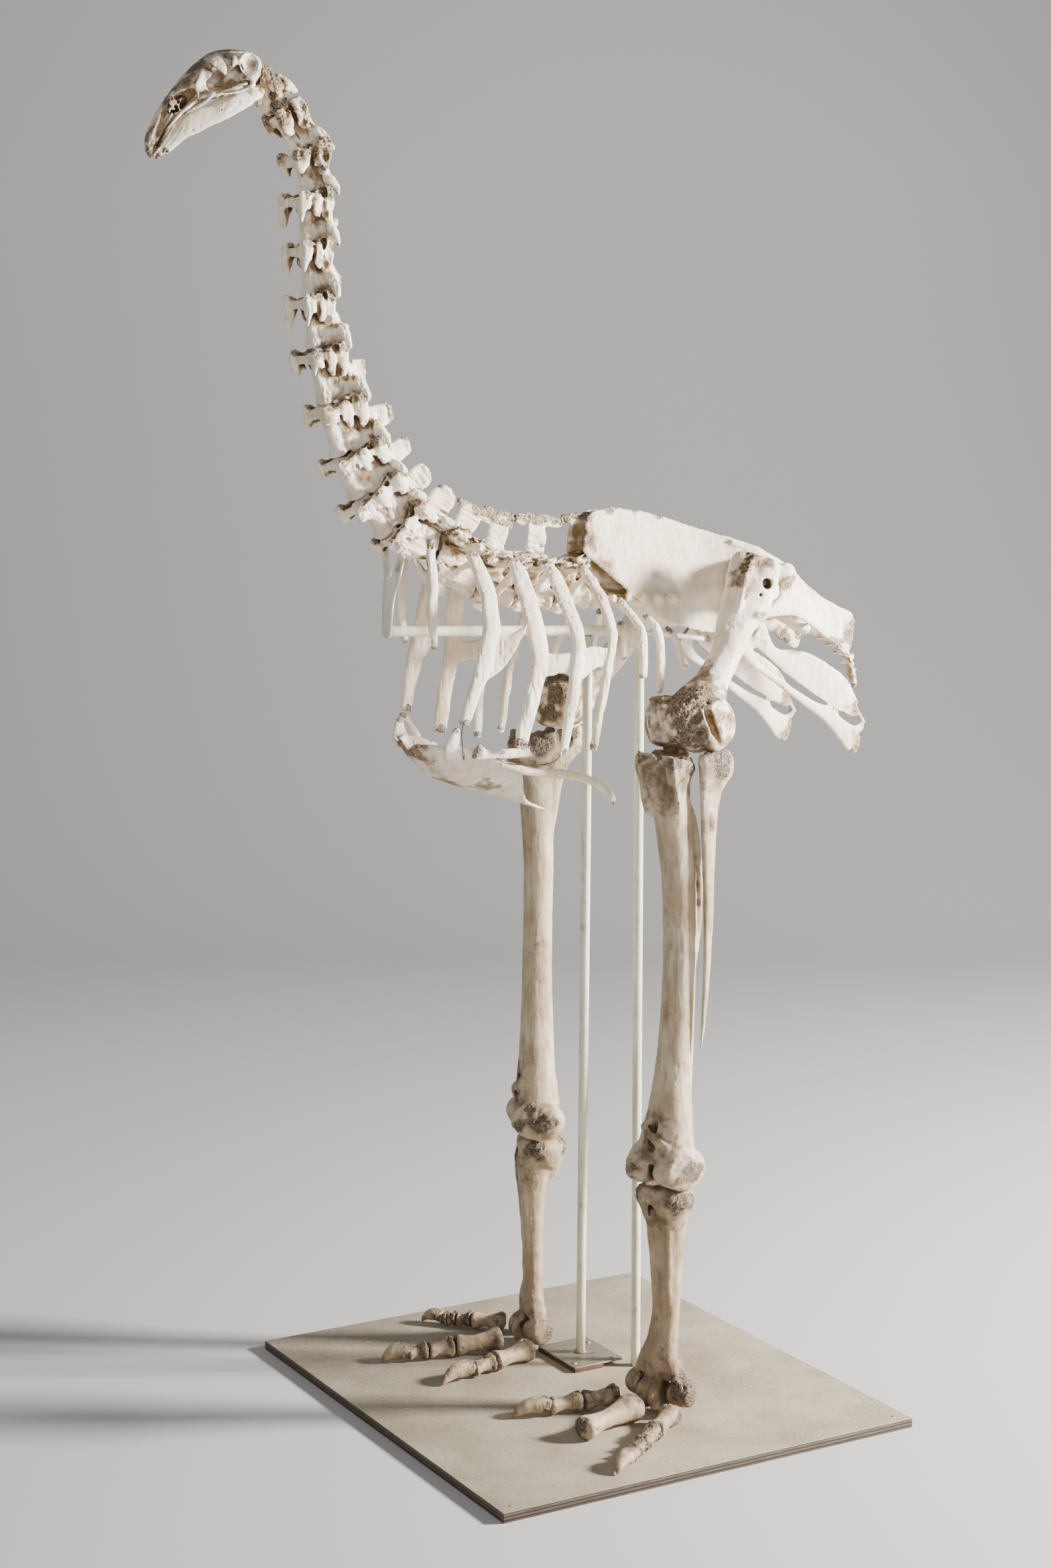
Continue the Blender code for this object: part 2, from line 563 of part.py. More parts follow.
RIB_SHIFT = {("right", 1): 22, ("right", 2): 13}  # how far back a rib hangs from its place
RIB_THICKNESS = 5.0
HOOKED_RIB = 2  # the free rib with a hooked flange on its rear edge


def rib_tube(side, number):
    shift = RIB_SHIFT.get((side, number), 0)
    rows = [(x + shift, s, z, width, RIB_THICKNESS * (0.75 + width / 40))
            for x, s, z, width in RIBS[number]]
    return tube(rows, sides=6, across=(1.0, 0.0, 0.0))


def build_ribs():
    hook = blade([(-210, 119, 1166, -208, 118, 1238, 6), (-186, 124, 1180, -182, 124, 1226, 5),
                  (-168, 129, 1212, -167, 129, 1232, 4), (-153, 132, 1236, -152, 132, 1243, 3)],
                 sides=4)
    plate = blade([(-142, 136, 1156, -134, 134, 1194, 6), (-112, 139, 1160, -110, 139, 1192, 5),
                   (-80, 142, 1150, -80, 142, 1196, 6), (-52, 142, 1163, -50, 142, 1200, 5),
                   (-24, 142, 1160, -22, 142, 1194, 6)], sides=4)
    for side in SIDES:
        joined = [rib_tube(side, number) for number in (3, 4, 5)] + [plate]
        fuse(f"ribs_{side}_3_to_5", own_side(side, joined), "bone", keep=KEEP["ribs"])
        for number in (1, 2, 6, 7, 8):
            shapes = [rib_tube(side, number)] + [hook] * (number == HOOKED_RIB)
            fuse(f"rib_{side}_{number}", own_side(side, shapes), "bone")


# ---------------------------------------------------------------------------- the breastbone


def shell(rows, across):
    """Curved plate from rows (x, half width, middle z, edge z, thickness)."""
    rings = []
    for x, half_width, middle, edge, thick in rows:
        spots = np.linspace(-1, 1, across)
        heights = middle + (edge - middle) * spots**2
        under = np.column_stack([np.full(across, x), spots * half_width, heights])
        over = under + (0, 0, thick)
        rings.append(np.vstack([under, over[::-1]]))
    return skin(np.array(rings))


def build_breastbone():
    plate = shell([(-306, 26, 1047, 1062, 4), (-284, 58, 1022, 1058, 6), (-248, 88, 998, 1052, 6),
                   (-205, 96, 982, 1036, 6), (-160, 94, 969, 1020, 6), (-128, 58, 959, 985, 6),
                   (-104, 22, 950, 954, 6), (-58, 5, 934, 935, 5)], across=7)
    wing = tube([(-178, 86, 1022, 12, 8), (-130, 92, 1010, 8, 8), (-79, 95, 1004, 6, 9),
                 (-30, 98, 990, 5, 8), (-3, 101, 968, 5, 8), (6, 102, 950, 3, 4)], sides=6,
                steps=2)
    corner = tube([(-262, 78, 1040, 7, 12), (-266, 86, 1064, 5, 13), (-258, 92, 1083, 4, 6)],
                  sides=5)
    horn = tube([(-290, 18, 1046, 8, 6), (-318, 33, 1069, 4, 3)], sides=4)
    fuse("sternum", [plate, *both(wing, corner, horn)], "bone", keep=KEEP["sternum"])
    near = tube([(-236, 103, 1049, 9, 13), (-222, 104, 1045, 6, 9), (-186, 106, 1043, 5, 8),
                 (-142, 108, 1044, 7, 8)], sides=6)
    fuse("sternal_rib_left", [near], "bone")
    far = tube([(-232, -110, 1046, 6, 7), (-247, -107, 1066, 5, 6), (-266, -105, 1088, 5, 6)],
               sides=6)
    fuse("sternal_rib_right", [far], "bone")


# ---------------------------------------------------------------------------- the legs


def leg_place(side):
    """Mapping from leg measures (forward, outward, z) about the foot to (x, s, z)."""
    turn = math.radians(LEG_TURN[side])
    foot_x = 47.0 - LEG_FORWARD[side]

    def place(points):
        forward, outward, z = np.array(points, float).T
        share = np.clip((z - ANKLE_HEIGHT) / (KNEE_HEIGHT - ANKLE_HEIGHT), 0, 1)
        forward = forward + LEG_BOW[side] * np.sin(math.pi * share)
        x = foot_x - forward * math.cos(turn) + outward * math.sin(turn)
        s = FOOT_SPREAD + forward * math.sin(turn) + outward * math.cos(turn)
        return np.column_stack([x, s, z])

    return place


def femur_rows(side, rows):
    """Rows of the femur, slid forward below the hip by as much as the knee stands forward."""
    moved_rows = []
    for x, *rest in rows:
        drop = (HIP[1] - rest[1]) / (HIP[1] - KNEE_HEIGHT)
        moved_rows.append((x - LEG_FORWARD[side] * min(max(drop, 0), 1), *rest))
    return moved_rows


def build_femur(side):
    shaft = [(254, 117, 1322, 18, 9), (246, 119, 1306, 40, 16), (232, 122, 1262, 42, 20),
             (206, 129, 1222, 31, 20), (176, 140, 1170, 24, 21), (142, 153, 1130, 27, 24),
             (116, 163, 1102, 40, 30), (96, 168, 1082, 42, 28)]
    head = [(HIP[0] - 26, 118, HIP[1] - 2, 20, 18), (HIP[0] - 4, 103, HIP[1], 19, 19),
            (HIP[0], 88, HIP[1], 21, 21), (HIP[0], 77, HIP[1], 13, 13)]
    inner = [(58, 128, 1082, 22, 24), (64, 134, 1082, 37, 39), (74, 156, 1080, 36, 37),
             (80, 164, 1080, 22, 24)]
    outer = [(102, 176, 1079, 26, 28), (110, 182, 1079, 41, 41), (126, 206, 1078, 42, 41),
             (130, 214, 1078, 24, 24)]
    shapes = [tube(femur_rows(side, rows), sides=8, across=(1.0, 0.3, 0.0))
              for rows in (shaft, inner, outer)]
    shapes.append(tube(head, sides=8, across=(1.0, 0.0, 0.0)))
    fuse(f"femur_{side}", own_side(side, shapes), "bone", keep=KEEP["femur"])


def build_tibiotarsus(side):
    place = leg_place(side)
    along = (0.0, 1.0, 0.0)
    shaft = [(-6, -4, 1030, 47, 38), (-2, -4, 1016, 45, 40), (0, -2, 980, 34, 34),
             (0, 0, 930, 30, 28), (-6, 0, 810, 27, 25), (-8, 0, 650, 27, 25), (-8, 0, 520, 31, 28),
             (-6, 0, 455, 42, 33), (-5, 0, 425, 48, 37), (-4, 0, 408, 46, 37)]
    crest = blade([(24, -10, 940, 12, -10, 950, 10), (38, -14, 975, 14, -10, 985, 12),
                   (50, -18, 1010, 16, -10, 1020, 12), (48, -18, 1048, 16, -10, 1030, 10)], sides=4)
    lateral_crest = blade([(22, 18, 962, 6, 10, 972, 8), (42, 30, 1000, 8, 10, 1000, 9),
                           (44, 34, 1036, 8, 10, 1030, 8)], sides=4)
    across = (1.0, 0.0, 0.0)
    inner = [(4, -54, 402, 26, 20), (2, -46, 402, 44, 32), (-2, -16, 404, 45, 33), (-4, -8, 404, 24, 20)]
    outer = [(-4, 8, 402, 24, 20), (-4, 14, 402, 45, 31), (-6, 46, 401, 44, 31), (-6, 53, 401, 24, 18)]
    shapes = [tube(shaft, sides=8, across=along), crest, lateral_crest,
              tube(inner, sides=8, across=across), tube(outer, sides=8, across=across)]
    fuse(f"tibiotarsus_{side}", own_side(side, [moved(shape, place) for shape in shapes]), "leg_bone",
         keep=KEEP["tibiotarsus"])


def build_fibula(side):
    place = leg_place(side)
    rows = [(-62, 46, 1036, 12, 34), (-60, 46, 1016, 15, 38), (-46, 44, 984, 10, 22),
            (-33, 43, 940, 7, 12), (-29, 42, 860, 6, 10), (-27, 41, 740, 5, 8), (-24, 38, 582, 3, 3)]
    fuse(f"fibula_{side}", own_side(side, [moved(tube(rows, sides=6), place)]), "bone")


def build_tarsometatarsus(side):
    place = leg_place(side)
    along = (0.0, 1.0, 0.0)
    shaft = [(-8, 0, 367, 46, 34), (-8, 0, 356, 50, 36), (-9, 0, 330, 41, 33), (-10, 0, 290, 32, 25),
             (-8, 0, 200, 27, 19), (-5, 0, 130, 28, 17), (0, 0, 95, 34, 17), (0, 0, 70, 44, 16)]
    heel = blade([(-50, -4, 362, -20, -4, 364, 26), (-48, -4, 336, -20, -4, 334, 20),
                  (-36, -4, 300, -16, -4, 292, 8)], sides=4)
    across = (1.0, 0.0, 0.0)
    middle = [(8, -14, 44, 24, 23), (8, 14, 44, 24, 23)]
    inner = [(-14, -52, 50, 20, 19), (-8, -28, 50, 22, 20)]
    outer = [(-8, 28, 50, 22, 20), (-15, 53, 50, 20, 18)]
    stems = [tube([(0, s * 0.7, 84, 12, 13), (shift, s, 55, 11, 15)], sides=4)
             for s, shift in ((-39, -10), (0, 6), (39, -10))]
    rollers = [tube(rows, sides=8, across=across) for rows in (inner, middle, outer)]
    shapes = [tube(shaft, sides=8, across=along), heel, *stems, *rollers]
    fuse(f"tarsometatarsus_{side}", own_side(side, [moved(shape, place) for shape in shapes]), "leg_bone",
         keep=KEEP["tarsometatarsus"])


# Toes: base and claw tip on the board, as (x, s), and where along the toe each bone ends
TOES = {
    ("left", 2): ((-6, 139), (-175, 103), (0.34, 0.66, 1.0), 19),
    ("left", 3): ((-8, 196), (-128, 232), (1.0,), 21),
    ("left", 4): ((28, 240), (-153, 371), (0.34, 0.53, 0.66, 0.77, 1.0), 17),
    ("right", 2): ((-22, -107), (-206, -72), (0.42, 0.66, 1.0), 19),
    ("right", 3): ((-42, -166), (-240, -212), (0.40, 0.62, 0.79, 1.0), 21),
    ("right", 4): ((8, -246), (-92, -356), (0.38, 0.56, 0.67, 0.77, 1.0), 17),
}


# Outline of a toe bone and of a claw: share of the length, and share of the toe's thickness there
TOE_BONE = ((0.0, 0.85), (0.14, 1.0), (0.55, 0.66), (0.88, 0.86), (1.03, 0.60))
CLAW = ((0.0, 0.80), (0.12, 1.0), (0.5, 0.86), (0.8, 0.55), (1.0, 0.10))


def build_toe(side, number):
    """A toe's bones, thick at both ends, laid end to end, with the claw last."""
    base, tip, ends, thick = TOES[side, number]
    base, tip = np.array(base, float), np.array(tip, float)
    reach = np.linalg.norm(tip - base)
    heading = (tip - base) / reach
    bones = []
    start = 0.0
    for end in ends:
        size = thick * (1 - 0.38 * start)
        is_claw = end == 1.0 and len(ends) > 1
        rows = []
        for share, scale in CLAW if is_claw else TOE_BONE:
            x, s = base + heading * reach * (start + share * (end - start))
            half = 0.80 * size * scale
            arch = 0.42 * size * math.sin(math.pi * share)
            middle = half + arch if is_claw else max(half, 0.80 * size * (1 - 0.15 * share))
            rows.append((x, s, BOARD_THICKNESS + GAP + middle, 0.86 * size * scale, half))
        bones.append(tube(rows, sides=6, across=(-heading[1], heading[0], 0.0)))
        start = end
    fuse(f"toe_{side}_{number}", bones, "leg_bone", keep=KEEP["toe"])


def build_legs():
    for side in SIDES:
        build_femur(side)
        build_tibiotarsus(side)
        build_fibula(side)
        build_tarsometatarsus(side)
    for side, number in TOES:
        build_toe(side, number)


clear_scene()
build_stand()
build_skull()
build_jaw()
build_spine()
build_pelvis()
build_tail()
build_ribs()
build_breastbone()
build_legs()
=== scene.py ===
import bpy
import math
import numpy as np
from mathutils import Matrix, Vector


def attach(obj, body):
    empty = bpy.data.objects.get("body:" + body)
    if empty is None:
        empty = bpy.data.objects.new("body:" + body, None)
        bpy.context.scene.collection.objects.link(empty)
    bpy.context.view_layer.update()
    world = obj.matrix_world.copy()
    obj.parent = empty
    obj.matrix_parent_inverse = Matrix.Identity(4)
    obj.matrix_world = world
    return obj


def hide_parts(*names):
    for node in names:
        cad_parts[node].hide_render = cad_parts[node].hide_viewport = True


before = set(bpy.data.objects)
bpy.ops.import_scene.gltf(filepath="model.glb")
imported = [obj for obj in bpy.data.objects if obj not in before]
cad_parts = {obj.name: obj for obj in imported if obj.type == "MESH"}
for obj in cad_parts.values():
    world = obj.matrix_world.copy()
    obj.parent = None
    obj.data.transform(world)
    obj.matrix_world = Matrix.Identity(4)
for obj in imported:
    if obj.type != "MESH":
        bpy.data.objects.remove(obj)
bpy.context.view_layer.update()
print("frame loaded")

# shapes are listed as x, s, z in millimetres, with s to the bird's left; in the frame y runs the other way, in metres
mm = 0.001
toMetres, toMillimetres = (mm, -mm, mm), (1000, -1000, 1000)
sideways, lengthwise = (0, 1, 0), (1, 0, 0)


# shapes, each worked out as a grid of points

# Catmull-Rom curve through the rows: each stretch is a cubic of its two ends and their neighbours
def spread(rows, steps):
    rows = np.asarray(rows, float)
    if steps <= 1 or len(rows) < 3:
        return rows
    knots = np.concatenate([[2 * rows[0] - rows[1]], rows, [2 * rows[-1] - rows[-2]]])
    place = np.append(np.arange((len(rows) - 1) * steps) / steps, len(rows) - 1)
    start = np.minimum(place.astype(int), len(rows) - 2)
    u = (place - start).reshape(-1, *[1] * (rows.ndim - 1))
    a, b, c, d = knots[start], knots[start + 1], knots[start + 2], knots[start + 3]
    return 0.5 * (2 * b + (c - a) * u + (2 * a - 5 * b + 4 * c - d) * u**2 + (3 * b - a - 3 * c + d) * u**3)


def unit(v):
    return v / np.maximum(np.linalg.norm(v, axis=-1, keepdims=True), 1e-12)


# closed shell over a stack of rings: four-sided faces between rings, a fan of them over each end
def shell(rings):
    count, sides = rings.shape[:2]
    index = np.arange(count * sides).reshape(count, sides)
    low, high = index[:-1], index[1:]
    faces = [np.stack([low, np.roll(low, -1, 1), np.roll(high, -1, 1), high], -1).reshape(-1, 4)]
    even = np.arange(0, sides, 2)
    for ring, centre, step in ((index[0], count * sides, -1), (index[-1], count * sides + 1, 1)):
        fan = np.stack([np.full(len(even), centre), ring[even], ring[even + 1], ring[(even + 2) % sides]], -1)
        faces.append(fan if step > 0 else fan[:, [0, 3, 2, 1]])
    points = np.vstack([rings.reshape(-1, 3), rings[0].mean(0), rings[-1].mean(0)])
    return points, np.vstack(faces)


# tube: at each row (x, s, z, half width, half depth) a ring x = cos^(2/p), y = sin^(2/p) square to the path
def tube(rows, sides=16, steps=6, across=sideways, p=2.0):
    rows = spread(rows, steps)
    path, size = rows[:, :3], np.maximum(rows[:, 3:5], 0.05)
    along = unit(np.gradient(path, axis=0))
    width = unit(np.array(across, float) - (along @ np.array(across, float))[:, None] * along)
    depth = np.cross(along, width)
    angle = np.arange(sides) * 2 * np.pi / sides
    c, s = np.cos(angle), np.sin(angle)
    c, s = np.sign(c) * np.abs(c) ** (2 / p), np.sign(s) * np.abs(s) ** (2 / p)
    return shell(path[:, None] + (size[:, :1] * c)[:, :, None] * width[:, None]
        + (size[:, 1:2] * s)[:, :, None] * depth[:, None])


# blade: rows (low x, s, z, high x, s, z, thickness); a ring of rise cos by half thickness sin^(2/p) between the edges
def blade(rows, sides=20, steps=6, p=2.6):
    rows = spread(rows, steps)
    low, high, thick = rows[:, 0:3], rows[:, 3:6], np.maximum(rows[:, 6:7], 0.1)
    middle, rise = (low + high) / 2, (high - low) / 2
    side = unit(np.cross(unit(np.gradient(middle, axis=0)), rise))
    angle = np.arange(sides) * 2 * np.pi / sides
    c, s = np.cos(angle), np.sin(angle)
    s = np.sign(s) * np.abs(s) ** (2 / p)
    push = thick / 2 * s
    return shell(middle[:, None] + c[None, :, None] * rise[:, None] + push[:, :, None] * side[:, None])


# ellipsoid: rings of radius sqrt(1 - t^2) along the x half axis, the other two half axes across, tilted about s
def knob(centre, radii, tilt=0.0):
    sides, count = 20, 13
    t = np.sin(np.linspace(-0.5, 0.5, count) * np.pi)
    r = np.sqrt(np.maximum(1 - t**2, 1e-4))
    angle = np.arange(sides) * 2 * np.pi / sides
    x = np.repeat(t[:, None], sides, 1) * radii[0]
    s = r[:, None] * np.cos(angle) * radii[1]
    z = r[:, None] * np.sin(angle) * radii[2]
    c, d = math.cos(math.radians(tilt)), math.sin(math.radians(tilt))
    return shell(np.stack([x * c - z * d, s, x * d + z * c], -1) + np.array(centre, float))


# patch: a smooth surface through a net of points (x, s, z, thickness), thickened along its own normals
def patch(net, steps):
    grid = spread(net, steps)
    grid = np.swapaxes(spread(np.swapaxes(grid, 0, 1), steps), 0, 1)
    points, thick = grid[..., :3], grid[..., 3:4]
    normal = unit(np.cross(np.gradient(points, axis=0), np.gradient(points, axis=1)))
    over, under = points + normal * thick / 2, points - normal * thick / 2
    return shell(np.concatenate([over, under[:, ::-1]], axis=1))


# the same shape on the other side: s changes sign, and its faces turn round
def mirrored(shape):
    return shape[0] * (1, -1, 1), shape[1][:, ::-1]


def both(*shapes):
    return list(shapes) + [mirrored(shape) for shape in shapes]


# shapes drawn for the left, turned over for the right
def ownSide(side, shapes):
    return [mirrored(shape) for shape in shapes] if side == "right" else list(shapes)


def placed(shapes, place):
    return [(place(points), faces) for points, faces in shapes]


# spots (x, s, z, radius) on both sides
def bothSpots(spots):
    return [(x, s * k, z, radius) for x, s, z, radius in spots for k in (1, -1)]


noiseGain = 1.6   # layered noise seldom passes 0.6, so this brings a push near its named amount


# old bone is never even: every point is pushed by three slow noises, one for each axis
def uneven(shapes, amount, size, seed):
    pushed = []
    for points, faces in shapes:
        push = np.stack([layeredNoise(points, size, 2, seed + 20 * axis) for axis in range(3)], -1)
        pushed.append((points + amount * push * noiseGain, faces))
    return pushed


# six times the volume is the sum of each corner triple's determinant; a negative one is inside out
def outward(points, faces):
    a, b, c, d = (points[faces[:, k]] for k in range(4))
    total = np.einsum("ij,ij->", a, np.cross(b, c)) + np.einsum("ij,ij->", a, np.cross(c, d))
    return faces if total > 0 else faces[:, ::-1]


# faces all have the same number of corners
def meshFrom(name, points, faces):
    mesh = bpy.data.meshes.new(name)
    mesh.vertices.add(len(points))
    mesh.vertices.foreach_set("co", np.ascontiguousarray(points, np.float32).ravel())
    mesh.loops.add(faces.size)
    mesh.loops.foreach_set("vertex_index", np.ascontiguousarray(faces, np.int32).ravel())
    mesh.polygons.add(len(faces))
    mesh.polygons.foreach_set("loop_start", np.arange(0, faces.size, faces.shape[1], dtype=np.int32))
    mesh.polygons.foreach_set("use_smooth", np.ones(len(faces), bool))
    mesh.update(calc_edges=True)
    mesh.validate()
    return mesh


# all the shapes together in one object, each with its faces outward
def objectFrom(name, shapes):
    points, faces, count = [], [], 0
    for shapePoints, shapeFaces in shapes:
        shapePoints = shapePoints * toMetres
        faces.append(outward(shapePoints - shapePoints.mean(0), shapeFaces) + count)
        points.append(shapePoints)
        count += len(shapePoints)
    made = bpy.data.objects.new(name, meshFrom(name, np.vstack(points), np.vstack(faces)))
    bpy.context.scene.collection.objects.link(made)
    return made


# the mesh that the modifiers make takes the place of the object's own
def finishedMesh(item):
    graph = bpy.context.evaluated_depsgraph_get()
    mesh = bpy.data.meshes.new_from_object(item.evaluated_get(graph))
    item.modifiers.clear()
    item.data = mesh
    return mesh


# noise, worked out for whole arrays of points

# the cell's whole numbers, multiplied, mixed and shifted, give a share of 1 that looks random
def scramble(cells, seed):
    n = (cells[..., 0] * 73856093) ^ (cells[..., 1] * 19349663) ^ (cells[..., 2] * 83492791) ^ (seed * 2654435761)
    n = (n ^ (n >> 13)) * 1274126177
    return ((n ^ (n >> 16)) & 0xFFFFFF) / float(0xFFFFFF)


# value noise: random numbers on the corners of a lattice, blended by smooth steps between them
def softNoise(points, size, seed=1):
    q = points / size
    cell = np.floor(q).astype(np.int64)
    u = q - cell
    u = u * u * (3 - 2 * u)
    total = np.zeros(len(points))
    for corner in range(8):
        step = np.array([corner & 1, corner >> 1 & 1, corner >> 2 & 1])
        weight = np.prod(np.where(step, u, 1 - u), axis=1)
        total += weight * scramble(cell + step, seed)
    return total * 2 - 1


# each layer is half as large and half as strong as the one before
def layeredNoise(points, size, layers=3, seed=1):
    total, share = np.zeros(len(points)), 1.0
    for layer in range(layers):
        total += share * softNoise(points, size / 2**layer, seed + layer)
        share *= 0.5
    return total / (2 - 2 * 0.5**layers)


# cell noise: distance from each point to the nearest of one random spot in each lattice cell
def spotNoise(points, size, seed=1):
    q = points / size
    cell = np.floor(q).astype(np.int64)
    nearest = np.full(len(points), 9.0)
    for step in np.ndindex(3, 3, 3):
        other = cell + np.array(step) - 1
        spot = other + np.stack([scramble(other, seed + k) for k in (11, 23, 37)], -1)
        nearest = np.minimum(nearest, np.sum((q - spot) ** 2, axis=1))
    return np.sqrt(nearest)


def meshArrays(mesh):
    points = np.empty(len(mesh.vertices) * 3, np.float32)
    mesh.vertices.foreach_get("co", points)
    normals = np.empty(len(mesh.vertices) * 3, np.float32)
    mesh.vertices.foreach_get("normal", normals)
    edges = np.empty(len(mesh.edges) * 2, np.int32)
    mesh.edges.foreach_get("vertices", edges)
    return points.reshape(-1, 3).astype(float), normals.reshape(-1, 3).astype(float), edges.reshape(-1, 2)


# each point moves towards the mean of the points that share an edge with it
def relaxed(points, edges, rounds):
    count = np.maximum(np.bincount(edges.ravel(), minlength=len(points)), 1)[:, None]
    for _ in range(rounds):
        total = np.stack([np.bincount(edges[:, 0], points[edges[:, 1], k], len(points))
            + np.bincount(edges[:, 1], points[edges[:, 0], k], len(points)) for k in range(3)], -1)
        points = points * 0.4 + 0.6 * total / count
    return points


def setNumbers(mesh, name, values):
    layer = mesh.attributes.new(name, "FLOAT", "POINT")
    layer.data.foreach_set("value", np.ascontiguousarray(values, np.float32))


edgeNoise = {"size": 0.013, "layers": 4, "seed": 77}


# share of 1 inside each named ball (x, s, z, radius), falling to 0 near its edge, which noise makes uneven
def nearSpots(points, spots, rough=0.45, soft=0.3):
    share, edge = np.zeros(len(points)), None
    for x, s, z, radius in spots:
        if edge is None:
            edge = rough * layeredNoise(points, edgeNoise["size"], edgeNoise["layers"], edgeNoise["seed"]) * 2
        away = np.linalg.norm(points * toMillimetres - (x, s, z), axis=1) / radius + edge
        share = np.maximum(share, np.clip((1.05 + soft / 2 - away) / soft, 0, 1))
    return share


# reach of the painted shade: counting cells, and the ways out along the normal that it samples
paintedShade = {
    "cell": 0.003, "margin": 12,   # counting cells, and how many of them lie around the piece
    "reaches": ((0.008, 0.5), (0.013, 0.6), (0.020, 0.5), (0.029, 0.4)),   # way out along the normal, and its weight
    "crowdLimit": 1.2,
}


# how hemmed in a point is: how many of the piece's own points lie a little way out along its normal; the bone finish
# paints shade by it, as ambient occlusion
def occlusionFromCrowding(points, normals):
    cell = paintedShade["cell"]
    low = points.min(0) - paintedShade["margin"] * cell
    where = ((points - low) / cell).astype(int)
    size = where.max(0) + paintedShade["margin"] + 1
    crowd = np.bincount(np.ravel_multi_index(where.T, size), minlength=int(np.prod(size)))
    crowd = crowd.reshape(size).astype(np.float32)
    for axis in (0, 1, 2, 0, 1, 2):
        crowd = crowd + np.roll(crowd, 1, axis) + np.roll(crowd, -1, axis)
    typical = np.median(crowd[tuple(where.T)])
    total = np.zeros(len(points))
    for reach, share in paintedShade["reaches"]:
        spot = np.clip(((points + normals * reach - low) / cell).astype(int), 0, size - 1)
        total += share * np.minimum(crowd[tuple(spot.T)] / typical, paintedShade["crowdLimit"])
    return np.clip(total, 0, 1)


boneFinish = {
    "waveSize": 0.022, "waveDepth": 0.0009,        # slow unevenness of old bone
    "grainSize": 0.006, "grainDepth": 0.00028,
    "drawnOut": 0.8,                               # how far grain and creases are drawn out along the bone
    "grooveSize": 0.0075, "grooveDepth": 0.0022,   # creases that run along the bone
    "grooveWidth": 0.16, "grooveArea": 0.02,
    "pitSize": 0.0046, "pitDepth": 0.0018,         # open spongy bone where the skin is worn off
    "pitReach": 0.55,
    "brokenSize": 0.009, "brokenDepth": 0.0022,    # broken surface there: it drops, and hardly rises
    "brokenGain": 1.6, "brokenTop": 0.2,
    "holeDepth": 0.012, "holeSlope": 1.2,          # small holes for vessels: deepest, and depth for their radius
    "hollowRounds": 10, "hollowDepth": 0.0016,     # how deep below its relaxed neighbours a point is fully hollow
}
toolVoxel = 1.1   # cutters and struts are fused on a slightly wider lattice than their bone


def addFusing(item, voxel):
    fuse = item.modifiers.new("fuse", "REMESH")
    fuse.mode, fuse.voxel_size = "VOXEL", voxel


# look, body and replaced solids of a finished piece
def dress(item, look, replaces):
    item.data.materials.clear()
    item.data.materials.append(look)
    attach(item, "root")
    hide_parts(*replaces)


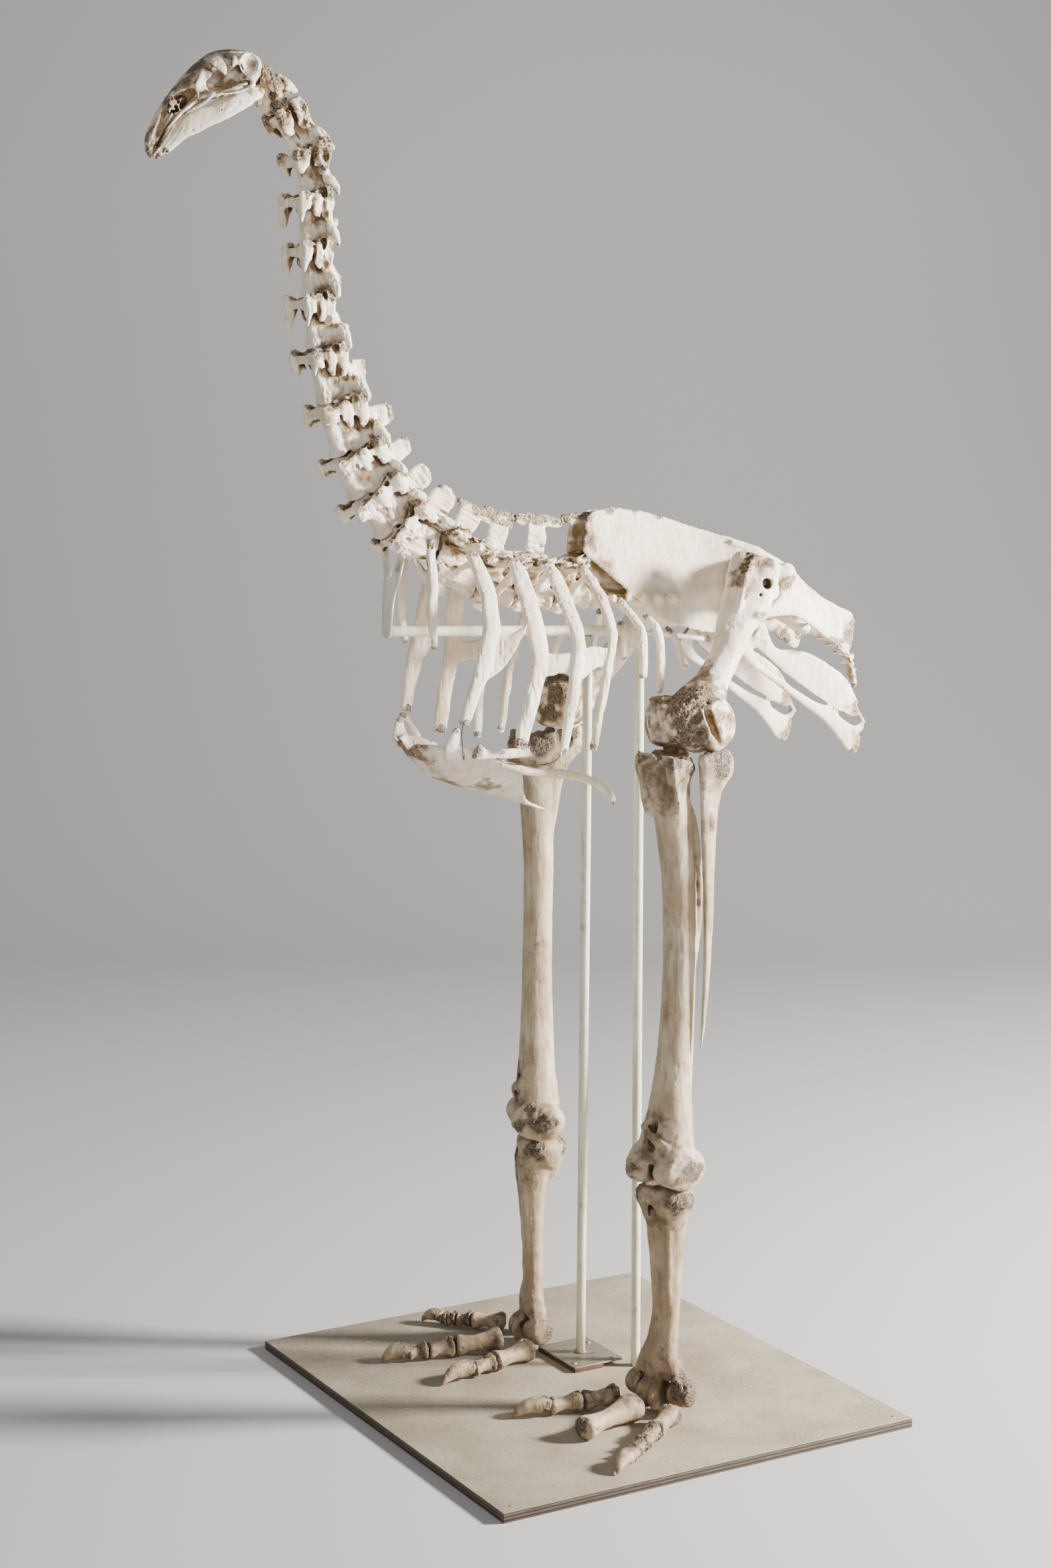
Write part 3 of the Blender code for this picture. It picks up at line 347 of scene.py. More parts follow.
# a fused bone: overlapping shells become one skin on a fine lattice, then it is cut, relaxed and weathered
def bone(name, shapes, look, voxel=0.002, holes=(), relax=3, porous=(), foramina=(), brownSpots=(), seed=1, replaces=(),
        struts=(), fibre=(0, 0, 1), grooved=0.3):
    item = objectFrom(name, shapes)
    addFusing(item, voxel)
    tools = []
    for toolShapes, way in ((holes, "DIFFERENCE"), (struts, "UNION")):
        if not len(toolShapes):
            continue
        tool = objectFrom(name + "Tool", toolShapes)
        addFusing(tool, voxel * toolVoxel)
        cut = item.modifiers.new("shape", "BOOLEAN")
        cut.operation = way
        cut.solver = "MANIFOLD"
        cut.object = tool
        tools.append(tool)
    if tools:
        addFusing(item, voxel)
    mesh = finishedMesh(item)
    for tool in tools:
        bpy.data.objects.remove(tool, do_unlink=True)
    points, _, edges = meshArrays(mesh)
    points = relaxed(points, edges, relax)
    mesh.vertices.foreach_set("co", points.astype(np.float32).ravel())
    mesh.update()
    points, normals, edges = meshArrays(mesh)
    finish = boneFinish
    spongy = nearSpots(points, porous)
    fibre = np.array(fibre, float) / np.linalg.norm(fibre)
    drawn = points - finish["drawnOut"] * (points @ fibre)[:, None] * fibre
    rise = finish["waveDepth"] * layeredNoise(points, finish["waveSize"], 3, seed)
    rise += finish["grainDepth"] * layeredNoise(drawn, finish["grainSize"], 2, seed + 5)
    crease = np.abs(layeredNoise(drawn, finish["grooveSize"], 2, seed + 3)) / finish["grooveWidth"]
    crease = np.clip(1 - crease, 0, 1)
    crease *= np.clip(layeredNoise(points, finish["grooveArea"], 2, seed + 4) * 2 + 0.6, 0, 1)
    rise -= finish["grooveDepth"] * grooved * crease
    pits = np.clip(finish["pitReach"] - spotNoise(points, finish["pitSize"], seed), 0, 1) / finish["pitReach"]
    rise -= finish["pitDepth"] * spongy * pits
    broken = layeredNoise(points, finish["brokenSize"], 3, seed + 9) * finish["brokenGain"]
    rise += finish["brokenDepth"] * spongy * np.minimum(broken, finish["brokenTop"])
    # vessel holes are sunk into the surface, and their share is kept as painted deep shade
    dark = np.zeros(len(points))
    for x, s, z, radius in foramina:
        away = np.linalg.norm(points * toMillimetres - (x, s, z), axis=1) / radius
        share = np.clip((1.15 - away) / 0.5, 0, 1)
        rise -= np.minimum(finish["holeDepth"], radius * mm * finish["holeSlope"]) * share
        dark = np.maximum(dark, share)
    points = points + normals * rise[:, None]
    mesh.vertices.foreach_set("co", points.astype(np.float32).ravel())
    mesh.update()
    soft = relaxed(points, edges, finish["hollowRounds"])
    _, normals, _ = meshArrays(mesh)
    hollow = np.clip(np.einsum("ij,ij->i", soft - points, normals) / finish["hollowDepth"], -1, 1)
    # painted shade: how hemmed in each point is, kept for the finish to darken
    occlusionShade = relaxed(np.repeat(occlusionFromCrowding(points, normals)[:, None], 3, 1), edges, 2)[:, 0]
    setNumbers(mesh, "hollow", hollow)
    setNumbers(mesh, "occlusionShade", np.clip(occlusionShade, 0, 1))
    setNumbers(mesh, "spongy", spongy)
    setNumbers(mesh, "brownSpots", nearSpots(points, brownSpots, 0.9, 0.9))
    # holes and the pits of open spongy bone: the finish paints them dark as their shade
    setNumbers(mesh, "pit", np.maximum(dark, spongy * pits))
    mesh.polygons.foreach_set("use_smooth", np.ones(len(mesh.polygons), bool))
    dress(item, look, replaces)


# finishes of the bones and of the stand

# a colour as a paint chart gives it, 0 to 255, turned into light
def tone(red, green, blue):
    return tuple((np.array([red, green, blue]) / 255) ** 2.2) + (1.0,)


# values are numbers for the node's inputs, or other nodes' outputs to link to them
def addNode(tree, kind, values=None, **settings):
    made = tree.nodes.new(kind)
    for key, value in settings.items():
        setattr(made, key, value)
    for key, value in (values or {}).items():
        if isinstance(value, bpy.types.NodeSocket):
            tree.links.new(value, made.inputs[key])
        else:
            made.inputs[key].default_value = value
    return made


def newLook(name, roughness, metallic=0.0):
    look = bpy.data.materials.new(name)
    look.use_nodes = True
    shader = look.node_tree.nodes["Principled BSDF"]
    shader.inputs["Roughness"].default_value = roughness
    shader.inputs["Metallic"].default_value = metallic
    return look, look.node_tree, shader


def stretched(tree, scale):
    place = addNode(tree, "ShaderNodeTexCoord").outputs["Object"]
    return addNode(tree, "ShaderNodeMapping", {"Vector": place, "Scale": scale}).outputs["Vector"]


def cloud(tree, place, scale, detail=5.0, rough=0.6):
    return addNode(tree, "ShaderNodeTexNoise", {"Vector": place, "Scale": scale, "Detail": detail,
        "Roughness": rough}).outputs["Fac"]


# value from low to high becomes first to last
def ramp(tree, value, low, high, first=0.0, last=1.0):
    return addNode(tree, "ShaderNodeMapRange", {"Value": value, "From Min": low, "From Max": high, "To Min": first,
        "To Max": last}).outputs["Result"]


def blended(tree, share, first, second):
    return addNode(tree, "ShaderNodeMix", {0: share, 6: first, 7: second}, data_type="RGBA").outputs[2]


def times(tree, first, second, way="MULTIPLY"):
    return addNode(tree, "ShaderNodeMath", {0: first, 1: second}, operation=way).outputs[0]


# distance to the nearest wall between cells
def cellWalls(tree, place, scale):
    return addNode(tree, "ShaderNodeTexVoronoi", {"Vector": place, "Scale": scale},
        feature="DISTANCE_TO_EDGE").outputs["Distance"]


def attribute(tree, name):
    return addNode(tree, "ShaderNodeAttribute", attribute_name=name).outputs["Fac"]


def raised(tree, shader, height, depth, strength=1.0):
    bump = addNode(tree, "ShaderNodeBump", {"Height": height, "Distance": depth, "Strength": strength})
    tree.links.new(bump.outputs["Normal"], shader.inputs["Normal"])


neckBone = {
    "pale": tone(250, 241, 226), "warm": tone(233, 214, 184), "grey": tone(188, 174, 152),
    "brown": tone(132, 104, 68), "halfShade": tone(158, 128, 84), "dark": tone(50, 37, 25), "sponge": tone(156, 136, 108),
    "greyShare": 0.4, "brownFrom": 0.62, "grain": (70, 70, 22), "hollowShare": 0.85,
}
plainBone = dict(neckBone, brownFrom=0.64, greyShare=0.45, grain=(80, 80, 16))
thighBone = dict(plainBone, brown=tone(112, 88, 62), sponge=tone(134, 112, 86), grain=(85, 85, 20))
legBone = dict(neckBone, pale=tone(200, 184, 158), warm=tone(172, 150, 120), grey=tone(132, 118, 98),
    brown=tone(104, 84, 62), halfShade=tone(112, 90, 62), sponge=tone(118, 104, 88), greyShare=0.75, brownFrom=0.57,
    grain=(85, 85, 13))
footBone = dict(legBone, pale=tone(182, 162, 134), warm=tone(152, 128, 98), grey=tone(116, 102, 84),
    grain=(60, 60, 26))
headBone = dict(neckBone, brown=tone(112, 97, 78), halfShade=tone(136, 112, 76), brownFrom=0.58, grain=(120, 120, 120),
    hollowShare=1.0)


# scales of the clouds in old bone: the larger the number, the finer the cloud
boneClouds = {"tone": 14, "blot": 21, "worn": 55, "paintedShade": 45, "dirtAndShade": 60, "openness": 75, "speck": 420,
    "fine": 300, "cellBend": 160.0, "cell": 270.0, "fineCell": 520.0}
boneRelief = {"cellBend": 0.004, "cells": -1.4, "fine": 0.35, "depth": 0.0011, "strength": 0.8}


# old bone: clouds of cream and grey, streaks along the grain, brown stains (on the skull and over the last back
# vertebra partly painted shade), paler convex edges, brown in the hollows that is part dirt and part painted shade,
# painted shade deepening where the bone hems a point in, dark painted shade in open pores and holes, open spongy ends
def boneLook(name, finish):
    scale, relief = boneClouds, boneRelief
    look, tree, shader = newLook(name, 0.6)
    place = stretched(tree, (1, 1, 1))
    grain = cloud(tree, stretched(tree, finish["grain"]), 1.0, 6, 0.65)
    base = blended(tree, ramp(tree, cloud(tree, place, scale["tone"]), 0.36, 0.62), finish["pale"], finish["warm"])
    greyness = times(tree, ramp(tree, grain, 0.47, 0.68), finish["greyShare"])
    blot = cloud(tree, place, scale["blot"], 7, 0.7)
    blot = ramp(tree, blot, finish["brownFrom"], finish["brownFrom"] + 0.12, 0, 0.6)
    # brown in the listed spots: stains on most bones, and on the skull and over the last back vertebra partly painted
    # shade
    worn = ramp(tree, cloud(tree, place, scale["worn"], 6, 0.7), 0.3, 0.55, 0.45, 1)
    worn = times(tree, attribute(tree, "brownSpots"), worn)
    hollow, spongy = attribute(tree, "hollow"), attribute(tree, "spongy")
    edge = ramp(tree, hollow, -0.9, -0.25, 0.35, 0)
    # painted shade: a cloud added to how hemmed in each point is, laid on as golden half shade and then dark deep
    # shade
    shadeAmount = times(tree, cloud(tree, place, scale["paintedShade"], 5, 0.65), 0.55)
    shadeAmount = times(tree, attribute(tree, "occlusionShade"), shadeAmount, "ADD")
    # brown in concave places, broken up by a cloud: partly dirt, partly painted shade
    dirtAndShade = ramp(tree, cloud(tree, place, scale["dirtAndShade"]), 0.3, 0.65, 0.55, 1)
    dirtAndShade = times(tree, times(tree, ramp(tree, hollow, 0.12, 0.95), dirtAndShade), finish["hollowShare"])
    bend = addNode(tree, "ShaderNodeTexNoise", {"Vector": place, "Scale": scale["cellBend"]}).outputs["Color"]
    bend = addNode(tree, "ShaderNodeVectorMath", {0: bend, 1: (relief["cellBend"],) * 3},
        operation="MULTIPLY").outputs[0]
    bent = addNode(tree, "ShaderNodeVectorMath", {0: place, 1: bend}, operation="ADD").outputs[0]
    # open spongy bone: cells sunk by the bump, with painted shade in each pore
    walls, fineWalls = cellWalls(tree, bent, scale["cell"]), cellWalls(tree, bent, scale["fineCell"])
    cell = times(tree, ramp(tree, walls, 0.06, 0.2), ramp(tree, fineWalls, 0.02, 0.2, 0.55, 1))
    openness = ramp(tree, cloud(tree, place, scale["openness"], 3, 0.6), 0.34, 0.54, 0.4, 1)
    cellDark = times(tree, times(tree, spongy, cell), openness)
    speck = ramp(tree, cloud(tree, place, scale["speck"], 2, 0.5), 0.66, 0.74, 0, 0.5)
    # layers, first to last; the golden and dark ones laid over hemmed-in places are painted shade, the brown over
    # concave places is part dirt and part painted shade, and the dark over pores and holes is painted shade
    layers = ((greyness, "grey"), (blot, "brown"), (worn, "brown"), (times(tree, spongy, 0.8), "sponge"),
        (edge, "pale"), (ramp(tree, shadeAmount, 0.4, 0.78, 0, 0.92), "halfShade"),
        (ramp(tree, shadeAmount, 0.7, 1.25, 0, 0.9), "dark"), (dirtAndShade, "brown"), (cellDark, "dark"),
        (ramp(tree, attribute(tree, "pit"), 0.2, 0.9), "dark"), (speck, "brown"))
    for share, colour in layers:
        base = blended(tree, share, base, finish[colour])
    tree.links.new(base, shader.inputs["Base Color"])
    tree.links.new(ramp(tree, grain, 0.3, 0.7, 0.48, 0.74), shader.inputs["Roughness"])
    height = times(tree, grain, times(tree, cellDark, relief["cells"]), "ADD")
    height = times(tree, height, times(tree, cloud(tree, place, scale["fine"], 3, 0.6), relief["fine"]), "ADD")
    raised(tree, shader, height, relief["depth"], relief["strength"])
    return look


paintedRod = {"paint": tone(230, 227, 208), "shade": tone(203, 199, 172), "stain": tone(126, 108, 78),
    "streakScale": (90, 90, 12), "stainScale": 26, "relief": 0.0004}


# rod: brushed pale paint with a few rusty stains
def rodLook(name, finish):
    look, tree, shader = newLook(name, 0.4)
    place = stretched(tree, (1, 1, 1))
    streak = cloud(tree, stretched(tree, finish["streakScale"]), 1.0, 5)
    base = blended(tree, ramp(tree, streak, 0.4, 0.65), finish["paint"], finish["shade"])
    stain = ramp(tree, cloud(tree, place, finish["stainScale"], 6, 0.65), 0.6, 0.74, 0, 0.75)
    base = blended(tree, stain, base, finish["stain"])
    tree.links.new(base, shader.inputs["Base Color"])
    tree.links.new(ramp(tree, streak, 0.3, 0.7, 0.32, 0.55), shader.inputs["Roughness"])
    raised(tree, shader, times(tree, streak, stain, "ADD"), finish["relief"], 0.6)
    return look


boardPaint = {"paint": tone(162, 152, 133), "worn": tone(134, 123, 104), "fleck": tone(88, 78, 64),
    "chalk": tone(205, 199, 184), "plyDark": tone(52, 44, 38), "plyLight": tone(104, 90, 74), "plyThickness": 0.0026,
    "toneScale": 7, "fleckScale": 260, "scuffScale": (5, 60, 60), "plyGrain": (30, 30, 300), "relief": 0.0005}


# board: sponged beige paint with flecks and scuffs on top, bare dark plies in bands up its edges
def boardLook(name, finish):
    look, tree, shader = newLook(name, 0.6)
    place = stretched(tree, (1, 1, 1))
    base = blended(tree, ramp(tree, cloud(tree, place, finish["toneScale"], 7, 0.62), 0.35, 0.66), finish["paint"],
        finish["worn"])
    fleck = cloud(tree, place, finish["fleckScale"], 3, 0.7)
    base = blended(tree, ramp(tree, fleck, 0.6, 0.68, 0, 0.8), base, finish["fleck"])
    base = blended(tree, ramp(tree, fleck, 0.4, 0.33, 0, 0.6), base, finish["chalk"])
    scuff = ramp(tree, cloud(tree, stretched(tree, finish["scuffScale"]), 1.0, 6, 0.75), 0.62, 0.72, 0, 0.35)
    base = blended(tree, scuff, base, finish["fleck"])
    split = addNode(tree, "ShaderNodeSeparateXYZ", {0: place})
    band = times(tree, times(tree, split.outputs[2], 2 * math.pi / finish["plyThickness"] / 2), 0, "SINE")
    ply = blended(tree, ramp(tree, band, -0.3, 0.3), finish["plyDark"], finish["plyLight"])
    ply = blended(tree, ramp(tree, cloud(tree, stretched(tree, finish["plyGrain"]), 1.0, 5), 0.4, 0.7, 0, 0.7), ply,
        finish["plyDark"])
    upright = addNode(tree, "ShaderNodeSeparateXYZ", {0: addNode(tree, "ShaderNodeNewGeometry").outputs["Normal"]})
    top = ramp(tree, upright.outputs[2], 0.3, 0.8)
    base = blended(tree, top, ply, base)
    tree.links.new(base, shader.inputs["Base Color"])
    tree.links.new(ramp(tree, fleck, 0.3, 0.7, 0.5, 0.75), shader.inputs["Roughness"])
    raised(tree, shader, times(tree, fleck, scuff, "ADD"), finish["relief"], 0.5)
    return look


plateMetal = {"bright": tone(168, 161, 146), "dull": tone(138, 130, 114), "rust": tone(88, 66, 46),
    "brushScale": (14, 320, 320), "rustScale": 60, "relief": 0.0003}


# plate: worn sheet steel, brighter where it is rubbed, with small rust spots
def plateLook(name, finish):
    look, tree, shader = newLook(name, 0.4, 0.7)
    place = stretched(tree, (1, 1, 1))
    brushed = cloud(tree, stretched(tree, finish["brushScale"]), 1.0, 5, 0.7)
    base = blended(tree, ramp(tree, brushed, 0.35, 0.65), finish["bright"], finish["dull"])
    rust = ramp(tree, cloud(tree, place, finish["rustScale"], 6, 0.7), 0.58, 0.68, 0, 0.8)
    base = blended(tree, rust, base, finish["rust"])
    tree.links.new(base, shader.inputs["Base Color"])
    tree.links.new(ramp(tree, brushed, 0.3, 0.7, 0.28, 0.55), shader.inputs["Roughness"])
    raised(tree, shader, times(tree, brushed, rust, "ADD"), finish["relief"], 0.5)
    return look


shimWood = {"early": tone(96, 62, 38), "late": tone(58, 36, 22), "grainScale": (260, 22, 260), "relief": 0.0005}


# shim: dark stained softwood with its grain along the long side
def shimLook(name, finish):
    look, tree, shader = newLook(name, 0.7)
    grain = cloud(tree, stretched(tree, finish["grainScale"]), 1.0, 6, 0.6)
    base = blended(tree, ramp(tree, grain, 0.4, 0.62), finish["early"], finish["late"])
    tree.links.new(base, shader.inputs["Base Color"])
    raised(tree, shader, grain, finish["relief"], 0.7)
    return look


looks = {
    "neck": boneLook("neckBone", neckBone), "plain": boneLook("plainBone", plainBone),
    "thigh": boneLook("thighBone", thighBone), "leg": boneLook("legBone", legBone),
    "foot": boneLook("footBone", footBone), "head": boneLook("headBone", headBone),
    "rod": rodLook("paintedRod", paintedRod), "board": boardLook("boardPaint", boardPaint),
    "wire": plateLook("wire", dict(plateMetal, bright=tone(70, 62, 54), dull=tone(42, 36, 30))),
    "plate": plateLook("plateMetal", plateMetal), "shim": shimLook("shimWood", shimWood),
}
print("finishes made")


# camera, light and floor

cameraPlace = {"at": (-2.0684, -3.4445, 1.515), "rise": 7.68222, "turn": 29.8431, "lens": 60.03, "farthest": 60}

camera = bpy.data.objects.new("camera", bpy.data.cameras.new("camera"))
camera.location = cameraPlace["at"]
camera.rotation_euler = (math.radians(90 - cameraPlace["rise"]), 0, math.radians(-cameraPlace["turn"]))
camera.data.lens = cameraPlace["lens"]
camera.data.clip_end = cameraPlace["farthest"]
bpy.context.scene.collection.objects.link(camera)
bpy.context.scene.camera = camera

# place, aim, size, power and colour of each lamp
lightPlan = {
    "key": ((3.1, -1.9, 1.9), (0, 0, 1.15), 0.5, 860, (1.0, 0.97, 0.93)),
    "front": ((-2.2, -4.2, 2.2), (0, 0, 1.1), 1.8, 85, (1.0, 0.98, 0.96)),
    "back": ((-2.2, 2.8, 2.4), (0, 0, 1.2), 1.6, 30, (0.95, 0.97, 1.0)),
}
for lampName, (spot, aim, size, power, colour) in lightPlan.items():
    lamp = bpy.data.objects.new(lampName, bpy.data.lights.new(lampName, "AREA"))
    lamp.data.size, lamp.data.energy, lamp.data.color = size, power, colour
    lamp.location = spot
    lamp.rotation_euler = (Vector(aim) - Vector(spot)).to_track_quat("-Z", "Y").to_euler()
    bpy.context.scene.collection.objects.link(lamp)

studio = {"colour": (0.42, 0.43, 0.45, 1), "strength": 0.3}

world = bpy.data.worlds.new("studio")
world.use_nodes = True
background = world.node_tree.nodes["Background"]
background.inputs["Color"].default_value = studio["colour"]
background.inputs["Strength"].default_value = studio["strength"]
bpy.context.scene.world = world

floorPlan = {"reach": 9.0, "flat": 3.4, "round": 2.4, "rise": 5.0, "colour": (0.47, 0.465, 0.46, 1),
    "roughness": 0.85}


# floor and backdrop in one sheet: flat, then a quarter circle, then straight up behind the bird
def makeFloor(size):
    arc = np.radians(np.linspace(0, 90, 25))
    run = np.concatenate([[-size["reach"]], size["flat"] + size["round"] * np.sin(arc),
        [size["flat"] + size["round"]]])
    rise = np.concatenate([[0], size["round"] * (1 - np.cos(arc)), [size["rise"]]])
    wide = np.array([-size["reach"], size["reach"]])
    turn = math.radians(cameraPlace["turn"])
    points = np.stack([np.outer(run, [1, 1]) * math.sin(turn) + wide * math.cos(turn),
        np.outer(run, [1, 1]) * math.cos(turn) - wide * math.sin(turn), np.outer(rise, [1, 1])], -1).reshape(-1, 3)
    start = np.arange(len(run) - 1) * 2
    faces = np.stack([start, start + 1, start + 3, start + 2], -1)
    floor = bpy.data.objects.new("floor", meshFrom("floor", points, faces))
    bpy.context.scene.collection.objects.link(floor)
    look, _, shader = newLook("floor", size["roughness"])
    shader.inputs["Base Color"].default_value = size["colour"]
    floor.data.materials.append(look)


makeFloor(floorPlan)
print("camera, light and floor placed")


# the stand: board, plate, rods, beam and fork

# small metal part that stands for no solid of its own
def metalPiece(name, shapes, look):
    item = objectFrom(name, shapes)
    item.data.materials.append(look)
    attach(item, "root")


def fixedPiece(name, shapes, look, replaces, bevel=0.0):
    item = objectFrom(name, shapes)
    if bevel:
        soft = item.modifiers.new("soft edges", "BEVEL")
        soft.width, soft.segments, soft.limit_method = bevel, 3, "ANGLE"
        finishedMesh(item)
        item.data.shade_smooth()
        item.data.set_sharp_from_angle(angle=math.radians(50))
    dress(item, look, replaces)


def box(low, high):
    (x0, s0, z0), (x1, s1, z1) = low, high
    points = np.array([(x, s, z) for x in (x0, x1) for s in (s0, s1) for z in (z0, z1)], float)
    return points, np.array([(0, 1, 3, 2), (4, 6, 7, 5), (0, 4, 5, 1), (2, 3, 7, 6), (0, 2, 6, 4), (1, 5, 7, 3)])


stand = {
    "boardLength": 720, "boardWidth": 810, "boardThickness": 15,
    "plate": ((9, -135, 21.6), (101, -17, 24.6)), "shim": ((9, -135, 15.3), (63, -17, 21.3)),
    "rodRadius": 7.5, "beamRadius": 8, "beamFront": (-319, 0, 1222), "beamRear": (66, 0, 1209),
    "tailBarEnd": (232, 0, 1190), "rearFoot": (113, 0), "bend": 46,
    "frontFoot": (55, -76, 25.6), "frontTop": (19, 0, 1202), "forkThickness": 5,
    "screws": ((18, -34), (82, -27), (88, -108)), "screwSize": (4.6, 2.4),
    "nails": ((-342, -384), (-338, 386), (338, 384), (340, -388)), "nailSize": (3.2, 0.7),
    "boardEdge": 0.0012, "plateEdge": 0.0009, "shimEdge": 0.0008, "forkVoxel": 0.0011,
}


# screw head: a shallow dome, height sin t over radius cos t
def screwHead(x, s, z, radius, height):
    t = np.linspace(0, 1, 7)
    rows = [(x, s, z + height * math.sin(math.pi / 2 * v), radius * math.cos(math.pi / 2 * v * 0.92),
        radius * math.cos(math.pi / 2 * v * 0.92)) for v in t]
    return tube([(x, s, z - 0.6, radius, radius), *rows], sides=24, steps=1, across=lengthwise)


def makeStand(size):
    half, wide, top = size["boardLength"] / 2, size["boardWidth"] / 2, size["boardThickness"]
    fixedPiece("stand_board_panel", [box((-half, -wide, 0), (half, wide, top))], looks["board"], ["stand_board"],
        size["boardEdge"])
    fixedPiece("stand_board_nails", [screwHead(x, s, top, *size["nailSize"]) for x, s in size["nails"]],
        looks["plate"], [])
    fixedPiece("stand_plate_sheet", [box(*size["plate"])], looks["plate"], ["stand_plate"],
        size["plateEdge"])
    fixedPiece("stand_shim_wedge", [box(*size["shim"])], looks["shim"], ["stand_shim"], size["shimEdge"])
    plateTop = size["plate"][1][2]
    fixedPiece("stand_screws", [screwHead(x, s, plateTop, *size["screwSize"]) for x, s in size["screws"]],
        looks["plate"], [])
    r, b = size["rodRadius"], size["beamRadius"]
    front, rear = np.array(size["beamFront"], float), np.array(size["beamRear"], float)
    beamRows = [(*(front + (rear - front) * u), b * k, b * k)
        for u, k in ((0, 0.9), (0.003, 1), (0.3, 1), (0.65, 1), (0.997, 1), (1, 0.92))]
    tail = np.array(size["tailBarEnd"], float)
    tailRows = [(rear[0] - 20, 0, rear[2] + 3, 4, 4), (150, 0, 1201, 4, 4), (*tail[:2], tail[2], 4, 4)]
    fixedPiece("stand_beam_rod", [tube(beamRows, 28, 4), tube(tailRows, 16, 4)], looks["rod"], ["stand_beam"])
    x, bend, z = size["rearFoot"][0], size["bend"], size["beamRear"][2]
    angle = np.radians(np.linspace(0, 90, 9))
    rearRows = [(x - bend + bend * math.sin(a), 0, z - bend + bend * math.cos(a), r, r) for a in angle]
    rearRows += [(x, 0, h, r, r) for h in (1000, 700, 400, 150, top + 0.4)]
    fixedPiece("stand_rear_rod", [tube(rearRows, 24, 4)], looks["rod"], ["stand_rod_rear"])
    foot, upperEnd = np.array(size["frontFoot"], float), np.array(size["frontTop"], float)
    frontRows = [(*(foot + (upperEnd - foot) * u), r, r) for u in (0, 0.25, 0.5, 0.75, 1)]
    fixedPiece("stand_front_rod", [tube(frontRows, 24, 3)], looks["rod"], ["stand_rod_front"])
    beadAngle = np.linspace(0, 2 * np.pi, 33)
    bead = [(foot[0] + (r + 1.2) * math.cos(a), foot[1] + (r + 1.2) * math.sin(a), foot[2] + 0.6, 1.9, 1.7)
        for a in beadAngle]
    fixedPiece("stand_weld_bead", [tube(bead, 10, 1, (0, 0, 1))], looks["plate"], [])
    k = size["forkThickness"] / 2
    shaft = [(-328, 0, 1212, k * 0.8, 6), (-328, 0, 1215, k, 11), (-328, 0, 1224, k, 14.5), (-327, 0, 1245, k, 15.5),
        (-325, 0, 1268, k, 17.5), (-320, 0, 1300, k, 23)]
    prong = [(-320, 10, 1292, k, 12), (-318, 17, 1310, k, 10), (-317, 23, 1325, k, 9), (-316, 27, 1336, k, 8.4),
        (-316, 28, 1338, k, 7)]
    shapes = [tube(shaft, 24, 5, lengthwise, 5), *both(tube(prong, 20, 5, lengthwise, 5))]
    fork = objectFrom("stand_fork_plate", shapes)
    addFusing(fork, size["forkVoxel"])
    mesh = finishedMesh(fork)
    points, _, edges = meshArrays(mesh)
    mesh.vertices.foreach_set("co", relaxed(points, edges, 3).astype(np.float32).ravel())
    mesh.polygons.foreach_set("use_smooth", np.ones(len(mesh.polygons), bool))
    dress(fork, looks["rod"], ["stand_fork"])


makeStand(stand)
print("stand made")


# neck and back

